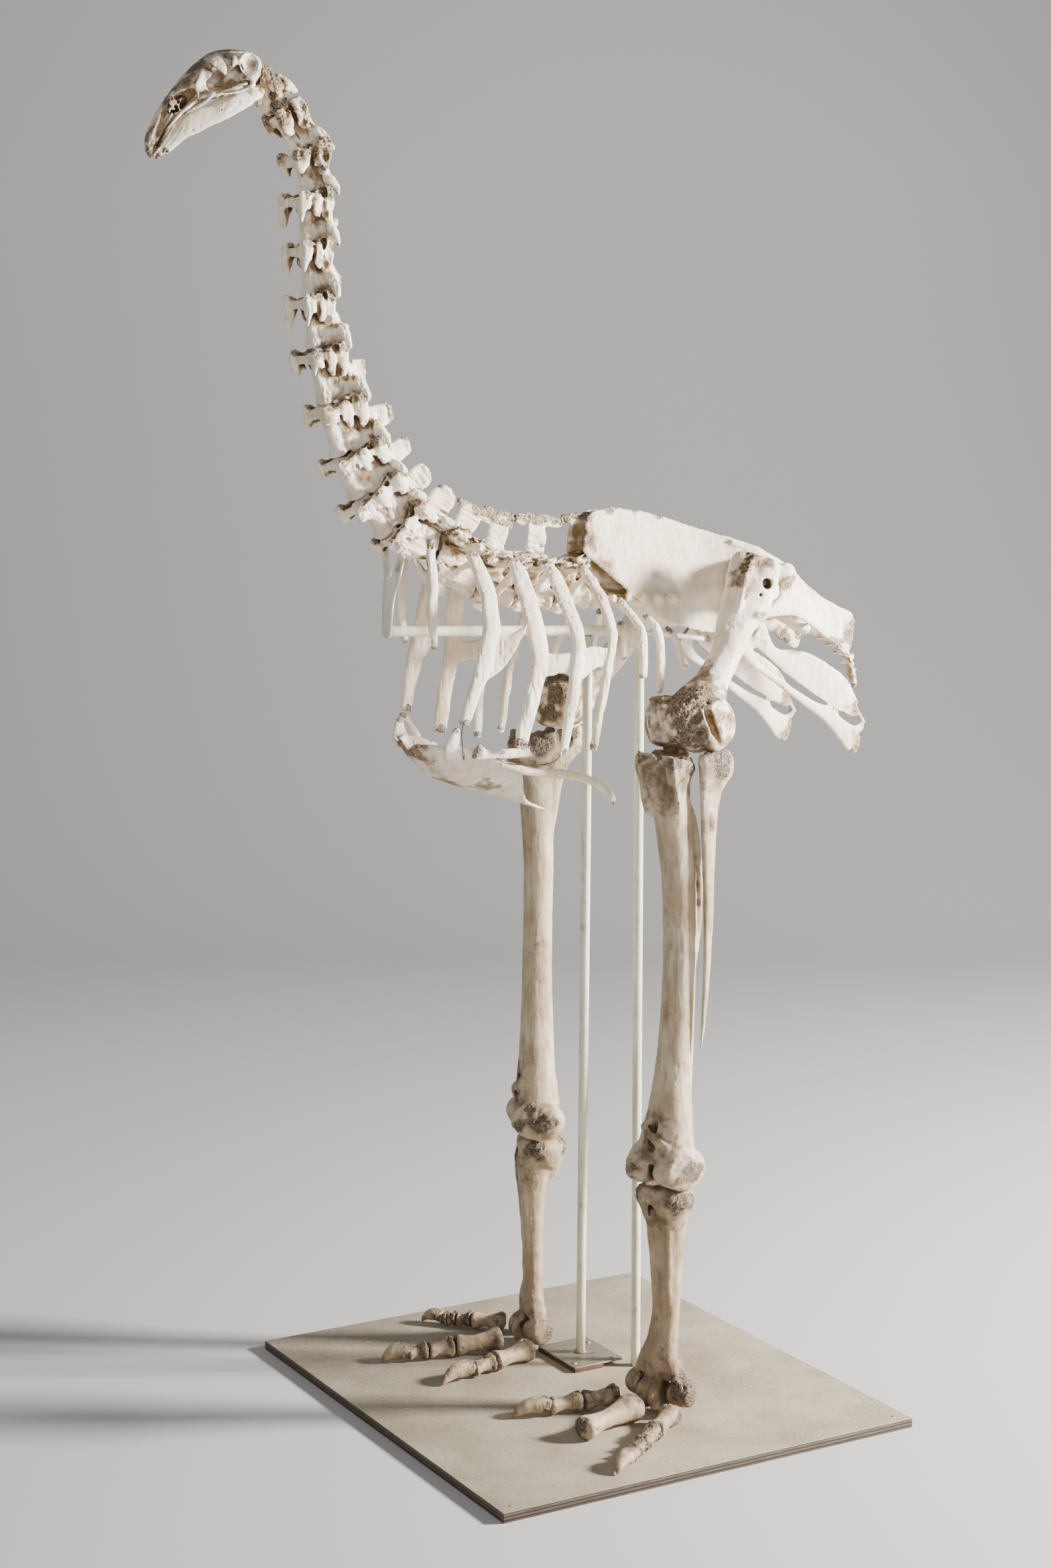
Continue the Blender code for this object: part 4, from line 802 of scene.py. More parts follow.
spine = {
    "curve": [(-522, 2003), (-496, 1956), (-463, 1902), (-452, 1781), (-442, 1631), (-404, 1478),
              (-327, 1366), (-187, 1280), (-53, 1262), (13, 1262)],
    "lengths": (16, 38, 63, 53, 69, 73, 77, 79, 79, 68, 68, 81, 84, 67, 68, 66),
    "neck": 12,
    "radius": {1: 9, 3: 10, 8: 13, 11: 17, 16: 21},
    # rib plates beside each neck vertebra: how far out, how far down, and how far back their spikes trail
    "reach": {3: 25, 4: 30, 5: 34, 8: 36, 10: 35, 12: 29},
    "drop": {3: 2, 4: 10, 5: 12, 8: 13, 9: 9, 10: 12, 11: 20, 12: 15},
    "trail": {3: 0.42, 4: 0.55, 5: 0.68, 7: 0.64, 8: 0.5, 9: 0.4, 12: 0.3},
    "jointHeight": {2: 24, 3: 39, 4: 40, 5: 39, 6: 35, 7: 32, 8: 43, 9: 58, 10: 69, 12: 70, 14: 64, 17: 58},
    "jointReach": {2: 14, 3: 17, 4: 19, 8: 20, 11: 25, 17: 17},
    "overlap": {3: 0.17, 4: 0.27, 5: 0.13, 8: 0.08, 10: 0.04, 12: 0.0, 14: -0.06},
    # tall spine of each vertebra: share of its length, low edge, high edge
    "crest": {
        3: ((0.38, 20, 36), (0.5, 20, 42), (0.66, 20, 40), (0.8, 20, 34)),
        4: ((0.3, 24, 38), (0.48, 24, 45), (0.66, 24, 44), (0.84, 24, 40)),
        5: ((0.34, 24, 38), (0.5, 24, 47), (0.58, 24, 54), (0.7, 24, 52), (0.8, 24, 44)),
        6: ((0.4, 22, 38), (0.52, 22, 46), (0.66, 22, 52), (0.8, 22, 50), (0.92, 22, 44)),
        7: ((0.44, 24, 36), (0.52, 24, 50), (0.64, 24, 60), (0.74, 24, 61), (0.9, 26, 55), (1.0, 30, 50)),
        8: ((0.3, 38, 60), (0.34, 38, 77), (0.5, 40, 80), (0.64, 44, 76), (0.8, 48, 72), (0.98, 54, 70)),
        9: ((0.29, 50, 80), (0.32, 50, 97), (0.42, 50, 103.5), (0.58, 52, 102.5), (0.69, 56, 100), (0.74, 60, 86)),
        10: ((0.29, 58, 92), (0.32, 58, 108), (0.44, 58, 113), (0.62, 60, 112), (0.73, 66, 109), (0.78, 70, 93)),
        11: ((0.34, 62, 98), (0.38, 62, 112), (0.52, 62, 116), (0.72, 64, 115), (0.86, 72, 110), (0.89, 78, 95)),
        12: ((0.31, 62, 100), (0.35, 62, 111), (0.52, 62, 114), (0.68, 64, 112), (0.77, 68, 106), (0.8, 70, 88)),
        13: ((0.17, 56, 106), (0.2, 56, 113), (0.34, 56, 117), (0.5, 58, 116.5), (0.58, 60, 113), (0.62, 64, 96)),
        14: ((0.16, 56, 104), (0.22, 56, 121), (0.38, 56, 126), (0.54, 58, 126), (0.64, 62, 116), (0.68, 64, 96)),
        15: ((0.36, 52, 100), (0.4, 52, 120), (0.54, 52, 124), (0.7, 54, 125), (0.8, 58, 120), (0.84, 62, 100)),
        16: ((0.55, 52, 96), (0.6, 52, 122), (0.74, 52, 128), (0.92, 54, 129), (1.0, 58, 122), (1.04, 62, 96)),
    },
    # ragged flange along the last spines: share of the length, depth below and height above their top, thickness
    "flange": ((-0.22, 7, -3, 3), (-0.1, 13, 0, 6), (0.15, 16, 1, 8), (0.5, 15, 3, 8), (0.75, 17, 2, 7),
               (0.92, 10, 5, 6), (1.06, 6, 4, 3)),
    "voxel": 0.0016,
}


def sizeAt(name, number):
    return float(np.interp(number, list(spine[name]), list(spine[name].values())))


# heights of a vertebra's front and rear joints, then how far they reach to the side
def jointSizes(number):
    return [sizeAt(name, end) for name in ("jointHeight", "jointReach") for end in (number, number + 1)]


# a vertebra's own axes: t along the neck, s to the side, h towards the back
def vertebraPlace(front, rear):
    length = float(np.linalg.norm(rear - front))
    along = (rear - front) / length

    def place(points):
        t, s, h = np.asarray(points, float).T
        return np.stack([front[0] + t * along[0] - h * along[1], s, front[1] + t * along[1] + h * along[0]], -1)

    return length, place


# body: a spool along t; over it the canal's walls and a roof, a flat slab that is wide at both joints
def spool(number, length):
    r = sizeAt("radius", number)
    low, high, near, far = jointSizes(number)
    body = tube([(0.8, 0, 1, r * 0.5, r * 0.5), (2.5, 0, 1, r * 0.95, r * 0.72), (7, 0, 0, r * 1.05, r * 0.9),
        (length * 0.28, 0, 0, r * 0.84, r * 0.8), (length * 0.52, 0, 1, r * 0.7, r * 0.7),
        (length * 0.78, 0, 1, r * 0.86, r * 0.78), (length - 6, 0, 0, r * 1.1, r * 0.95),
        (length - 2, 0, 0, r * 0.9, r * 0.8), (length - 0.8, 0, 0, r * 0.6, r * 0.5)], 24, 5, p=2.3)
    walls = tube([(length * 0.07, 0, low * 0.42, near * 0.7, low * 0.3),
        (length * 0.2, 0, low * 0.44, near * 0.72, low * 0.36),
        (length * 0.5, 0, (low + high) * 0.24, r * 0.92, (low + high) * 0.22),
        (length * 0.74, 0, high * 0.52, far * 0.66, high * 0.42),
        (length * 0.9, 0, high * 0.6, far * 0.6, high * 0.32)], 28, 4, p=3)
    late = 0.9 if number == 16 else 1.03
    roof = tube([(-length * 0.02, 0, low - 13, near, 5), (length * 0.05, 0, low - 13, near + 5, 8),
        (length * 0.22, 0, low - 12, near + 3, 9.5), (length * 0.5, 0, (low + high) / 2 - 7, (near + far) * 0.33, 12),
        (length * 0.76, 0, high - 6, far + 1, 9), (length * 0.93, 0, high - 1, far + 4, 5.5),
        (length * late, 0, high + 1, far + 2, 3)], 32, 5, p=3.2)
    canalHeight = r * 0.75 + 7
    canal = tube([(-12, 0, canalHeight + 2, 8.5, 8), (length * 0.3, 0, canalHeight, 6, 6),
        (length * 0.7, 0, canalHeight, 6, 6), (length + 12, 0, canalHeight + 2, 9, 8)], 16, 4)
    notches = [knob((-length * 0.08, 0, low - 8), (length * 0.2, near * 0.5, 15)),
        knob((length * 1.08, 0, high + 6), (length * 0.24, far * 0.5, 12))]
    return [body, walls, roof], [canal, *notches]


# joint pads: the front pair are long lobes under the joint plane, the rear pair lie over it and reach past the end
def jointPads(number, length):
    low, high, near, far = jointSizes(number)
    lap = sizeAt("overlap", number)
    end = min(1.02 + sizeAt("overlap", number + 1), 0.94 if number == 16 else 2)
    grow = 1.3 if number < 5 else 1.0
    front = tube([(-length * lap, near + 2, low - 13, 3.4 * grow, 5.5 * grow),
        (-length * (lap - 0.05), near + 3, low - 13, 6.6 * grow, 8.6 * grow),
        (length * 0.1, near + 4, low - 13.5, 8.2 * grow, 10 * grow), (length * 0.28, near + 3.5, low - 14, 7.6, 10),
        (length * 0.46, near, low - 14.5, 5.6, 8), (length * 0.55, near - 3, low - 15, 2.6, 4)], 24, 5, p=2.6)
    rear = tube([(length * 0.56, far - 4, high - 8, 4, 6), (length * 0.7, far + 0.5, high - 5, 7, 8),
        (length * 0.88, far + 3, high, 7.6, 6), (length * (end - 0.09), far + 3, high + 1.8, 7, 4.2),
        (length * end, far + 1, high + 1.8, 3.4, 2.4)], 24, 5, p=2.6)
    under = knob((length * 0.5, near + 8, low * 0.5), (length * 0.16, 8.5, 6.5))
    dish = knob((length * 0.12, near + 14, low - 14), (length * 0.22, 5, 7)) if number < 5 else None
    spots = [(-length * lap, near, low - 12, 13), (length * 0.06, near + 8, low - 8, 8),
        (length * end, far, high + 2, 10)]
    return both(front, rear), both(under) + (both(dish) if dish else []), spots


# side wall of a neck vertebra: a rib plate that trails off in a spike, a middle lobe, a thin wall up to the front pad
# and a root from the body; the gaps between the lobes are slots
def ribSide(number, length):
    reach, drop, trail = sizeAt("reach", number), sizeAt("drop", number), sizeAt("trail", number)
    r, low, near = sizeAt("radius", number), sizeAt("jointHeight", number), sizeAt("jointReach", number)
    root = tube([(length * 0.16, r * 0.4, -4, 9, 5.5), (length * 0.15, (r + reach) * 0.5, -drop * 0.8 - 3, 7, 3.4),
        (length * 0.15, reach, -drop - 3, 9, 4)], 18, 4, lengthwise, 2.6)
    plate = tube([(-length * 0.04, reach - 2, -drop - 1, 2.4, 5), (length * 0.03, reach, -drop - 1, 4, 9.5),
        (length * 0.22, reach, -drop - 2, 4.2, 10), (length * trail * 0.7, reach - 1, -drop - 5, 3.4, 7.5),
        (length * trail * 0.86, reach - 2, -drop - 7, 3, 6), (length * trail * 0.95, reach - 3, -drop - 8, 2, 3.6)],
        22, 5, p=3)
    midS, midH = (reach + near) / 2 + 2, (low - 14 - drop) / 2
    lobe = tube([(-length * 0.02, midS, midH, 2.4, 4), (length * 0.05, midS + 0.5, midH, 4.6, 8),
        (length * 0.26, midS, midH, 4.4, 8), (length * 0.42, midS - 3, midH + 2, 3.2, 5.6),
        (length * 0.5, midS - 5, midH + 3, 1.4, 2.4)], 20, 5, p=2.8)
    wall = blade([(length * (0.02 + 0.11 * k), reach - 1, -drop, length * (0.02 + 0.11 * k), near + 3, low - 14,
        3 + (k in (1, 2))) for k in range(4)], 24, 4, 3)
    if number < 5:
        tunnel = tube([(-10, (r + reach) / 2 + 2, midH - 2, 6, 6.5),
            (length * 0.5, (r + reach) / 2 + 2, midH - 2, 5, 6)], 16, 2)
        stub = tube([(-length * 0.08, reach - 3, -drop + 3, 3, 6), (-length * 0.02, reach - 1, -drop + 2, 6, 12),
            (length * 0.2, reach - 2, -drop + 1, 6.4, 12), (length * 0.36, reach - 5, -drop, 5, 9),
            (length * 0.5, reach - 9, -drop + 1, 2, 4)], 24, 5, p=2.6)
        rim = [(-length * 0.06, reach + 2, -drop + 12, 9), (length * 0.02, reach + 4, -drop - 8, 9),
            (0, midS, midH, 12)]
        return both(root, stub, wall), both(tunnel), rim
    slits = [tube([(length * 0.08, midS + 5, h, 5, 1), (length * 0.26, midS + 6, h + 1, 9, 2.6),
        (length * 0.55, midS + 3, h + lean, 12, 4.6)], 16, 4)
        for h, lean in (((midH - drop) / 2 + 1, -2), ((midH + low - 14) / 2, 3))]
    slits.append(knob((length * 0.01, midS + 5, (midH + low - 14) / 2 + 2),
        (length * 0.13, 15, 5 if number < 8 else 7.5)))
    spots = [(0, reach, -drop + 3, 9), (0, midS, midH, 8)]
    slim = tube([(-length * 0.03, reach - 3, -drop - 1, 2.4, 5), (length * 0.05, reach - 1, -drop - 1, 4, 8),
        (length * 0.22, reach - 2, -drop - 2, 4, 7), (length * trail * 0.6, reach - 6, -drop - 4, 3, 4.4),
        (length * trail * 0.86, reach - 9, -drop - 6, 1.8, 2.2)], 22, 5, p=3)
    return [slim, mirrored(plate), *both(root, lobe, wall)], both(*slits), spots


# tall spine: a blade whose low and high edges are given, thicker and broken along its crest
def spinePlate(number, length):
    rows = spine["crest"][number]
    thick = 7 if number > spine["neck"] else 8.5
    wide = [0.55, *[1.0] * (len(rows) - 2), 0.6]
    middleT = (rows[0][0] + rows[-1][0]) / 2
    plate = blade([(length * (middleT + (t - middleT) * 0.95), 0, b, length * t, 0, h, thick * w)
        for (t, b, h), w in zip(rows, wide)], 32, 5, 3.4)
    shapes = [plate]
    spots = [(length * t, 0, h + 1, 7) for t, _, h in rows[1:-1]]
    if number >= 13:
        start, top = length * rows[1][0], rows[2][2]
        shapes.append(blade([(start + length * run, 0, top - below, start + length * (run - 0.02), 0, top + above,
            wide) for run, below, above, wide in spine["flange"]], 30, 4, 3))
        spots += [(start + length * run, 0, top - 2, 10) for run in (-0.1, 0.25, 0.6, 0.85, 1.05)]
    if number >= 8:
        shapes.append(tube([(length * rows[0][0] + 2, 0, rows[1][2] - 6, 3, 3),
            (length * rows[2][0], 0, rows[2][2] - 5, thick * 0.66, 4),
            (length * rows[-2][0] - 1, 0, rows[-2][2] - 4, thick * 0.6, 3.4)], 14, 4))
    return shapes, spots


backFinish = {"spikes": 13, "seed": 8}


# back vertebra: side bars to the ribs, sockets for the ribs' heads, a keel below and splinters of bony tendon on top
def backBars(number, length):
    hinge, r = sizeAt("jointHeight", number), sizeAt("radius", number)
    side = tube([(length * 0.5, r * 0.5, hinge * 0.7, 13, 8), (length * 0.54, 26, hinge * 0.76, 9, 5),
        (length * 0.58, 40, hinge * 0.80, 9, 6), (length * 0.6, 46, hinge * 0.80, 6, 4)], 18, 5, lengthwise, 2.4)
    flange = blade([(length * 0.22, 18, hinge * 0.74, length * 0.9, 18, hinge * 0.76, 5),
        (length * 0.38, 36, hinge * 0.80, length * 0.82, 36, hinge * 0.82, 4),
        (length * 0.46, 45, hinge * 0.80, length * 0.74, 45, hinge * 0.82, 3)], 20, 5)
    socket = tube([(length * 0.15, r * 0.5, 4, 9, 9), (length * 0.16, r + 4, 4, 7.4, 7.4),
        (length * 0.16, r + 6, 4, 4.5, 4.5)], 16, 3, lengthwise)
    drop = max(r + 22 - 6 * (number - spine["neck"]), r + 3)
    keel = blade([(length * 0.08, 0, -drop * 0.86, length * 0.12, 0, 0, 5),
        (length * 0.2, 0, -drop, length * 0.2, 0, 0, 8), (length * 0.4, 0, -drop * 0.97, length * 0.4, 0, 0, 7),
        (length * 0.58, 0, -drop * 0.84, length * 0.56, 0, 0, 5)], 22, 4)
    pits = both(tube([(length * 0.46, r * 0.5, 11, 8, 7), (length * 0.46, r + 12, 11, 11, 9)], 14, 3, lengthwise),
        tube([(length * 0.7, 8, hinge * 0.5, 6, 6), (length * 0.7, 30, hinge * 0.5, 8, 7)], 14, 3, lengthwise))
    chance = np.random.default_rng(backFinish["seed"] + number)
    splinters = []
    for k in range(backFinish["spikes"]):
        t, s, h = length * chance.uniform(-0.05, 0.8), chance.uniform(12, 42), hinge * chance.uniform(0.8, 1.02)
        reach, lift = chance.uniform(12, 27) * (1 if k % 3 else -1), chance.uniform(-2, 9)
        splinters += both(tube([(t, s, h, 3.4, 2.6), (t + reach * 0.5, s + 1, h + lift * 0.4, 2.4, 2),
            (t + reach, s + 3, h + lift, 1.1, 1.0)], 10, 3))
    return [*both(side, flange, socket), keel, *splinters], pits


skullBack = [knob((-549, 0, 2014), (28.5, 42, 28)), knob((-523, 0, 2010), (6.5, 7.5, 6.5))]


# first bone: a low wedge tucked between the head, the jaw's heels and the second bone
def makeAtlas():
    wedge = blade([(-541, 0, 1973, -539, 0, 1985, 12), (-537, 0, 1968, -535, 0, 1990, 22),
        (-530, 0, 1964, -528, 0, 1994, 28), (-524, 0, 1962, -522, 0, 1996, 26), (-521.5, 0, 1966, -520, 0, 1992, 16)],
        26, 4, 2.6)
    arms = both(tube([(-530, 10, 1980, 6, 7), (-527, 15, 1984, 4.6, 6), (-524, 18, 1988, 2.6, 3.6)], 16, 4))
    shapes = uneven([wedge, *arms], 1.2, 12, 3)
    bone("neck_01_atlas_bone", shapes, looks["neck"], 0.0012, skullBack, 2, [(-526, 10, 1968, 8)], seed=11,
        replaces=["neck_01_atlas"], brownSpots=[(-530, 10, 1985, 12)])


# second bone: one high mass of spongy bone behind the head, with a blunt rear point over the next joint
def makeAxis():
    mass = blade([(-524, 0, 1990, -524, 0, 2020, 14), (-520, 0, 1968, -520, 0, 2026, 25),
        (-513, 0, 1955, -513, 0, 2025, 30), (-506, 0, 1955, -505, 0, 2019, 31), (-501, 0, 1958, -499, 0, 2009, 28),
        (-496, 0, 1968, -495, 0, 2004, 22), (-492, 0, 1978, -490, 0, 1999, 13)], 32, 5, 2.8)
    points = both(tube([(-502, 5, 2003, 9, 13), (-492, 7, 1999, 8, 11), (-482, 8, 1994, 6.6, 7.6),
        (-474, 8, 1990, 5, 5.4), (-470, 8, 1988, 2.6, 3)], 20, 5),
        tube([(-508, 10, 1996, 6, 12), (-503, 15, 1985, 4.4, 9), (-500, 16, 1974, 3, 5)], 18, 4))
    cuts = both(tube([(-509, 12, 1979, 3.4, 5), (-509, 24, 1979, 4.4, 6)], 12, 3, lengthwise),
        tube([(-497, 12, 2005, 2.4, 4), (-495, 22, 2006, 3.4, 5)], 12, 3, lengthwise))
    canal = tube([(-530, 0, 2004, 5, 5), (-512, 0, 1992, 4.5, 4.5), (-480, 0, 1975, 5, 5)], 14, 4)
    shapes, cuts = uneven([mass, *points], 2.0, 12, 5), uneven(cuts, 2.5, 9, 6)
    porous = [(-517, 8, 2016, 15), (-506, 12, 2004, 14), (-508, 12, 1985, 9), (-503, 10, 1964, 10),
        (-488, 10, 1997, 6)]
    bone("neck_02_axis_bone", shapes, looks["neck"], 0.0012, [*cuts, canal, *skullBack], 1, bothSpots(porous),
        seed=12, replaces=["neck_02_axis"], brownSpots=[(-514, 12, 1998, 20), (-500, 12, 1985, 14)], fibre=(0.3, 0, -1),
        grooved=0.8)


# a vertebra's spots on both sides, moved to its place
def worldSpots(spots, place):
    spots = np.array(spots, float)
    spots = np.vstack([spots, spots * (1, -1, 1, 1)])
    return np.column_stack([place(spots[:, :3]), spots[:, 3]])


def makeSpine(plan):
    curve = spread(plan["curve"], 24)
    run = np.concatenate([[0], np.cumsum(np.linalg.norm(np.diff(curve, axis=0), axis=1))])
    wanted = np.concatenate([[0.0], np.cumsum(plan["lengths"])])
    wanted *= run[-1] / wanted[-1]
    joints = np.column_stack([np.interp(wanted, run, curve[:, k]) for k in (0, 1)])
    last = len(plan["lengths"])
    for number in range(1, last + 1):
        length, place = vertebraPlace(joints[number - 1], joints[number])
        if number == 1:
            makeAtlas()
            continue
        if number == 2:
            makeAxis()
            continue
        neck = number <= plan["neck"]
        name = f"neck_{number:02d}" if neck else f"back_{number - plan['neck']:02d}"
        shapes, holes = spool(number, length)
        pads, slots, spots = jointPads(number, length)
        plate, crestSpots = spinePlate(number, length)
        shapes += pads + plate
        holes += slots
        spots = spots + crestSpots
        if neck:
            sides, gaps, wallSpots = ribSide(number, length)
            shapes += sides
            holes += gaps
            spots += wallSpots
        else:
            bars, pits = backBars(number, length)
            shapes += bars
            holes += pits
        low = sizeAt("jointHeight", number)
        brown = [(length * 0.02, 0, low * 0.6, 14), (length * 0.45, 14, low * 0.4, 11), (length * 0.1, 26, 2, 10),
            (length * 0.98, 0, low * 0.6, 13)]
        if number in (3, 4):
            spots += [(length * 0.06, 24, low - 7, 15), (length * 0.3, 24, low - 8, 12),
                (length * 1.02, 17, low + 4, 12)]
            brown += [(length * 0.1, 20, low - 26, 13), (length * 0.05, 30, -8, 12)]
        # a large brown patch over the last back vertebra: partly stain, partly painted shade of the pelvis around it
        if number == last:
            brown += [(length * 0.8, 0, 90, 44)]
        shapes, holes = uneven(shapes, 2.4, 19, number), uneven(holes, 2.8, 13, number)
        bone(name + "_bone", placed(shapes, place), looks["neck"], plan["voxel"], placed(holes, place), 1,
            worldSpots(spots, place), seed=20 + number, replaces=[name], brownSpots=worldSpots(brown, place),
            fibre=place([(1, 0, 0)])[0] * (1, 0, 1) - place([(0, 0, 0)])[0] * (1, 0, 1), grooved=1)


makeSpine(spine)
print("neck and back made")


# the head

head = {
    # roof x and z, floor x and z, half width, from the back of the head to the tip of the beak
    "sections": [((-522, 2017), (-525, 2009), 7), ((-526, 2031), (-531, 1998), 23), ((-535, 2036), (-538, 1992), 31),
                 ((-551, 2039.6), (-549, 1989), 36), ((-576, 2039.4), (-572, 1983), 34),
                 ((-600, 2032), (-594, 1977), 29), ((-627, 2009.5), (-616, 1969), 23),
                 ((-652, 1982), (-637, 1956), 18), ((-679, 1946), (-660, 1934), 11.5),
                 ((-693, 1917), (-674, 1911), 8), ((-694.5, 1901), (-683, 1898), 5.5),
                 ((-690, 1888), (-686, 1888), 2.5)],
    "voxel": 0.0012,
}


def makeSkull(plan):
    rows = [(floor[0], 0, floor[1], roof[0], 0, roof[1], 2 * half) for roof, floor, half in plan["sections"]]
    cranium = blade(rows, 40, 6, 2.5)
    bulge = knob((-553, 27, 2017), (16, 13, 17))
    rim = tube([(-553 + 14 * math.cos(a), 36.5, 2017 + 15.5 * math.sin(a), 1.3, 1.8)
        for a in np.linspace(0, 2 * np.pi, 25)], 10, 1)
    quadrate = tube([(-549, 30, 2006, 7, 6), (-551, 34, 1997, 5, 5), (-552, 37, 1990, 8, 7), (-553, 37, 1985, 5, 5)],
        16, 4)
    earRing = knob((-557, 35, 1992), (8, 6, 8))
    brow = tube([(-602, 24, 2023, 7, 3.4), (-599, 30, 2019, 9.5, 2.6), (-594, 34, 2012, 8.5, 2.2),
        (-590, 36, 2005, 4.6, 1.8), (-588, 36, 1999, 1.3, 1.2)], 16, 5, (1, 0, 0.45), 3.2)
    browRear = tube([(-571, 30, 2028, 6, 3), (-572, 34, 2021, 6, 2.2), (-576, 35, 2014, 3.2, 1.8),
        (-578, 35, 2010, 1.2, 1.1)], 14, 5, (1, 0, -0.2), 3)
    tear = tube([(-606, 22, 2009, 6, 3), (-613, 26, 2004, 9, 2.6), (-619, 28, 1995, 7, 2.2), (-625, 27, 1984, 6.5, 2),
        (-626, 26, 1975, 3.4, 1.7), (-624, 26, 1966, 1.2, 1.1)], 16, 5, lengthwise, 3)
    cheek = tube([(-550, 37, 1991, 3.4, 3.4), (-563, 37, 1981, 1.8, 2.6), (-583, 35, 1976, 1.6, 2.2),
        (-603, 32, 1973, 1.6, 2.4), (-616, 27, 1964, 1.8, 3), (-634, 19, 1953, 2.4, 3.4)], 12, 5)
    lip = tube([(-608, 27, 1971, 1.8, 2.4), (-629, 20, 1957, 2, 3), (-653, 13, 1934, 2, 3), (-666, 9.5, 1915, 2, 3),
        (-679, 5, 1897, 2.2, 3), (-687, 1.5, 1887, 1.8, 2)], 12, 5)
    ridge = tube([(-612, 0, 2019, 4, 2), (-640, 0, 1995, 3.4, 2), (-668, 0, 1958, 3, 2), (-686, 0, 1928, 2.8, 2),
        (-692.5, 0, 1905, 3, 2), (-691, 0, 1890, 2.4, 1.6)], 12, 4)
    condyle = knob((-523, 0, 2010), (5, 6, 5))
    orbit = tube([(-590, 60, 1993, 30, 20), (-590, 34, 1994, 28, 19), (-590, 18, 1996, 21, 15),
        (-590, 5, 1998, 12, 9)], 28, 4, (1, 0, 0.16), 3.2)
    temple = knob((-570, 38, 2012), (8, 12, 10), 25)
    dish = knob((-553, 43, 2017), (14.5, 10, 15.5))
    ear = tube([(-557, 48, 1992, 4.6, 3.8), (-557, 27, 1992, 3.6, 3)], 14, 1, lengthwise)
    muzzle = knob((-648, 24, 1964), (26, 18, 13.5), 36)
    muzzleDeep = knob((-650, 10, 1961), (18, 9, 9), 36)
    nostril = knob((-674, 12, 1929), (25, 9.6, 6.6), 61)
    window = blade([(-673, 3, 1938, -667, 3, 1954, 6), (-673, 9, 1937, -665, 9, 1955, 8),
        (-673, 16, 1936, -665, 16, 1956, 9)], 14, 2)
    cord = tube([(-516, 0, 2019, 6, 5), (-548, 0, 2017, 6, 5)], 14, 1)
    temporal = knob((-579, 31, 2029), (9, 8, 6), -10)
    bars = []
    for low, high, radius in (((-660, 12, 1974), (-648, 15, 1950), 1.5), ((-640, 14, 1983), (-650, 13, 1957), 1.3),
            ((-632, 18, 1979), (-641, 17, 1955), 1.6), ((-664, 9, 1960), (-643, 16, 1969), 1.3),
            ((-655, 12, 1946), (-636, 17, 1962), 1.4), ((-583, 33, 2014), (-579, 30, 2003), 1.2),
            ((-587, 30, 2008), (-577, 34, 2010), 1.1), ((-612, 30, 1968), (-606, 31, 1979), 1.1),
            ((-606, 31, 1979), (-600, 32, 1969), 1.1), ((-600, 32, 1969), (-594, 33, 1977), 1.0)):
        bars.append(tube([(*low, radius, radius), (*((np.array(low) + high) / 2 + (1, 2, 0)), radius * 0.8,
            radius * 0.8), (*high, radius, radius)], 10, 4))
    for x, z, size in ((-654, 1956, 4.2), (-659, 1961, 3.4), (-661, 1951, 3)):
        bars.append(tube([(x + size * math.cos(a), 15, z + size * 0.9 * math.sin(a), 1.1, 2.6)
            for a in np.linspace(0, 4.6, 12)], 10, 1))
    # brown patches: in the skull's cavities partly stain and partly painted shade; on top of the dome and on the
    # beak's near face, painted shade
    stainAndShadeSpots = [(-590, 14, 1996, 24), (-603, 10, 1990, 16), (-575, 16, 1992, 18), (-646, 14, 1964, 24),
        (-660, 10, 1948, 14), (-628, 18, 1972, 14), (-553, 36, 2016, 14), (-574, 34, 2010, 8), (-672, 8, 1925, 13),
        (-662, 12, 1922, 6), (-640, 15, 1948, 6), (-590, 8, 2040, 30), (-625, 12, 2010, 22), (-648, 8, 1985, 20),
        (-684, 7, 1918, 16), (-686, 6, 1900, 10), (-560, 10, 2042, 18)]
    porous = [(-688, 3, 1893, 8), (-683, 8, 1905, 6), (-602, 24, 1976, 7)]
    foramina = [(-606, 12, 1996, 3.2), (-571, 24, 1982, 3), (-656, 11, 1947, 2), (-618, 24, 1975, 1.6),
        (-596, 28, 2030, 1.5)]
    holes = [cord, *both(window, orbit, temple, dish, ear, muzzle, muzzleDeep, nostril, temporal)]
    bone("skull_bone", [cranium, ridge, condyle, *both(bulge, quadrate, earRing, lip)], looks["head"], plan["voxel"],
        holes, 2, bothSpots(porous), bothSpots(foramina), bothSpots(stainAndShadeSpots), 3, ["skull"],
        struts=both(*bars, rim, brow, browRear, tear, cheek), fibre=(1, 0, 0.9), grooved=0.35)


jawPlan = {"wire": ((-579, 24, 1946), (-580, 22, 1940), (-586, 20, 1935.5), (-594, 19, 1935), (-600, 19, 1938)),
    "wireRadius": 0.8}


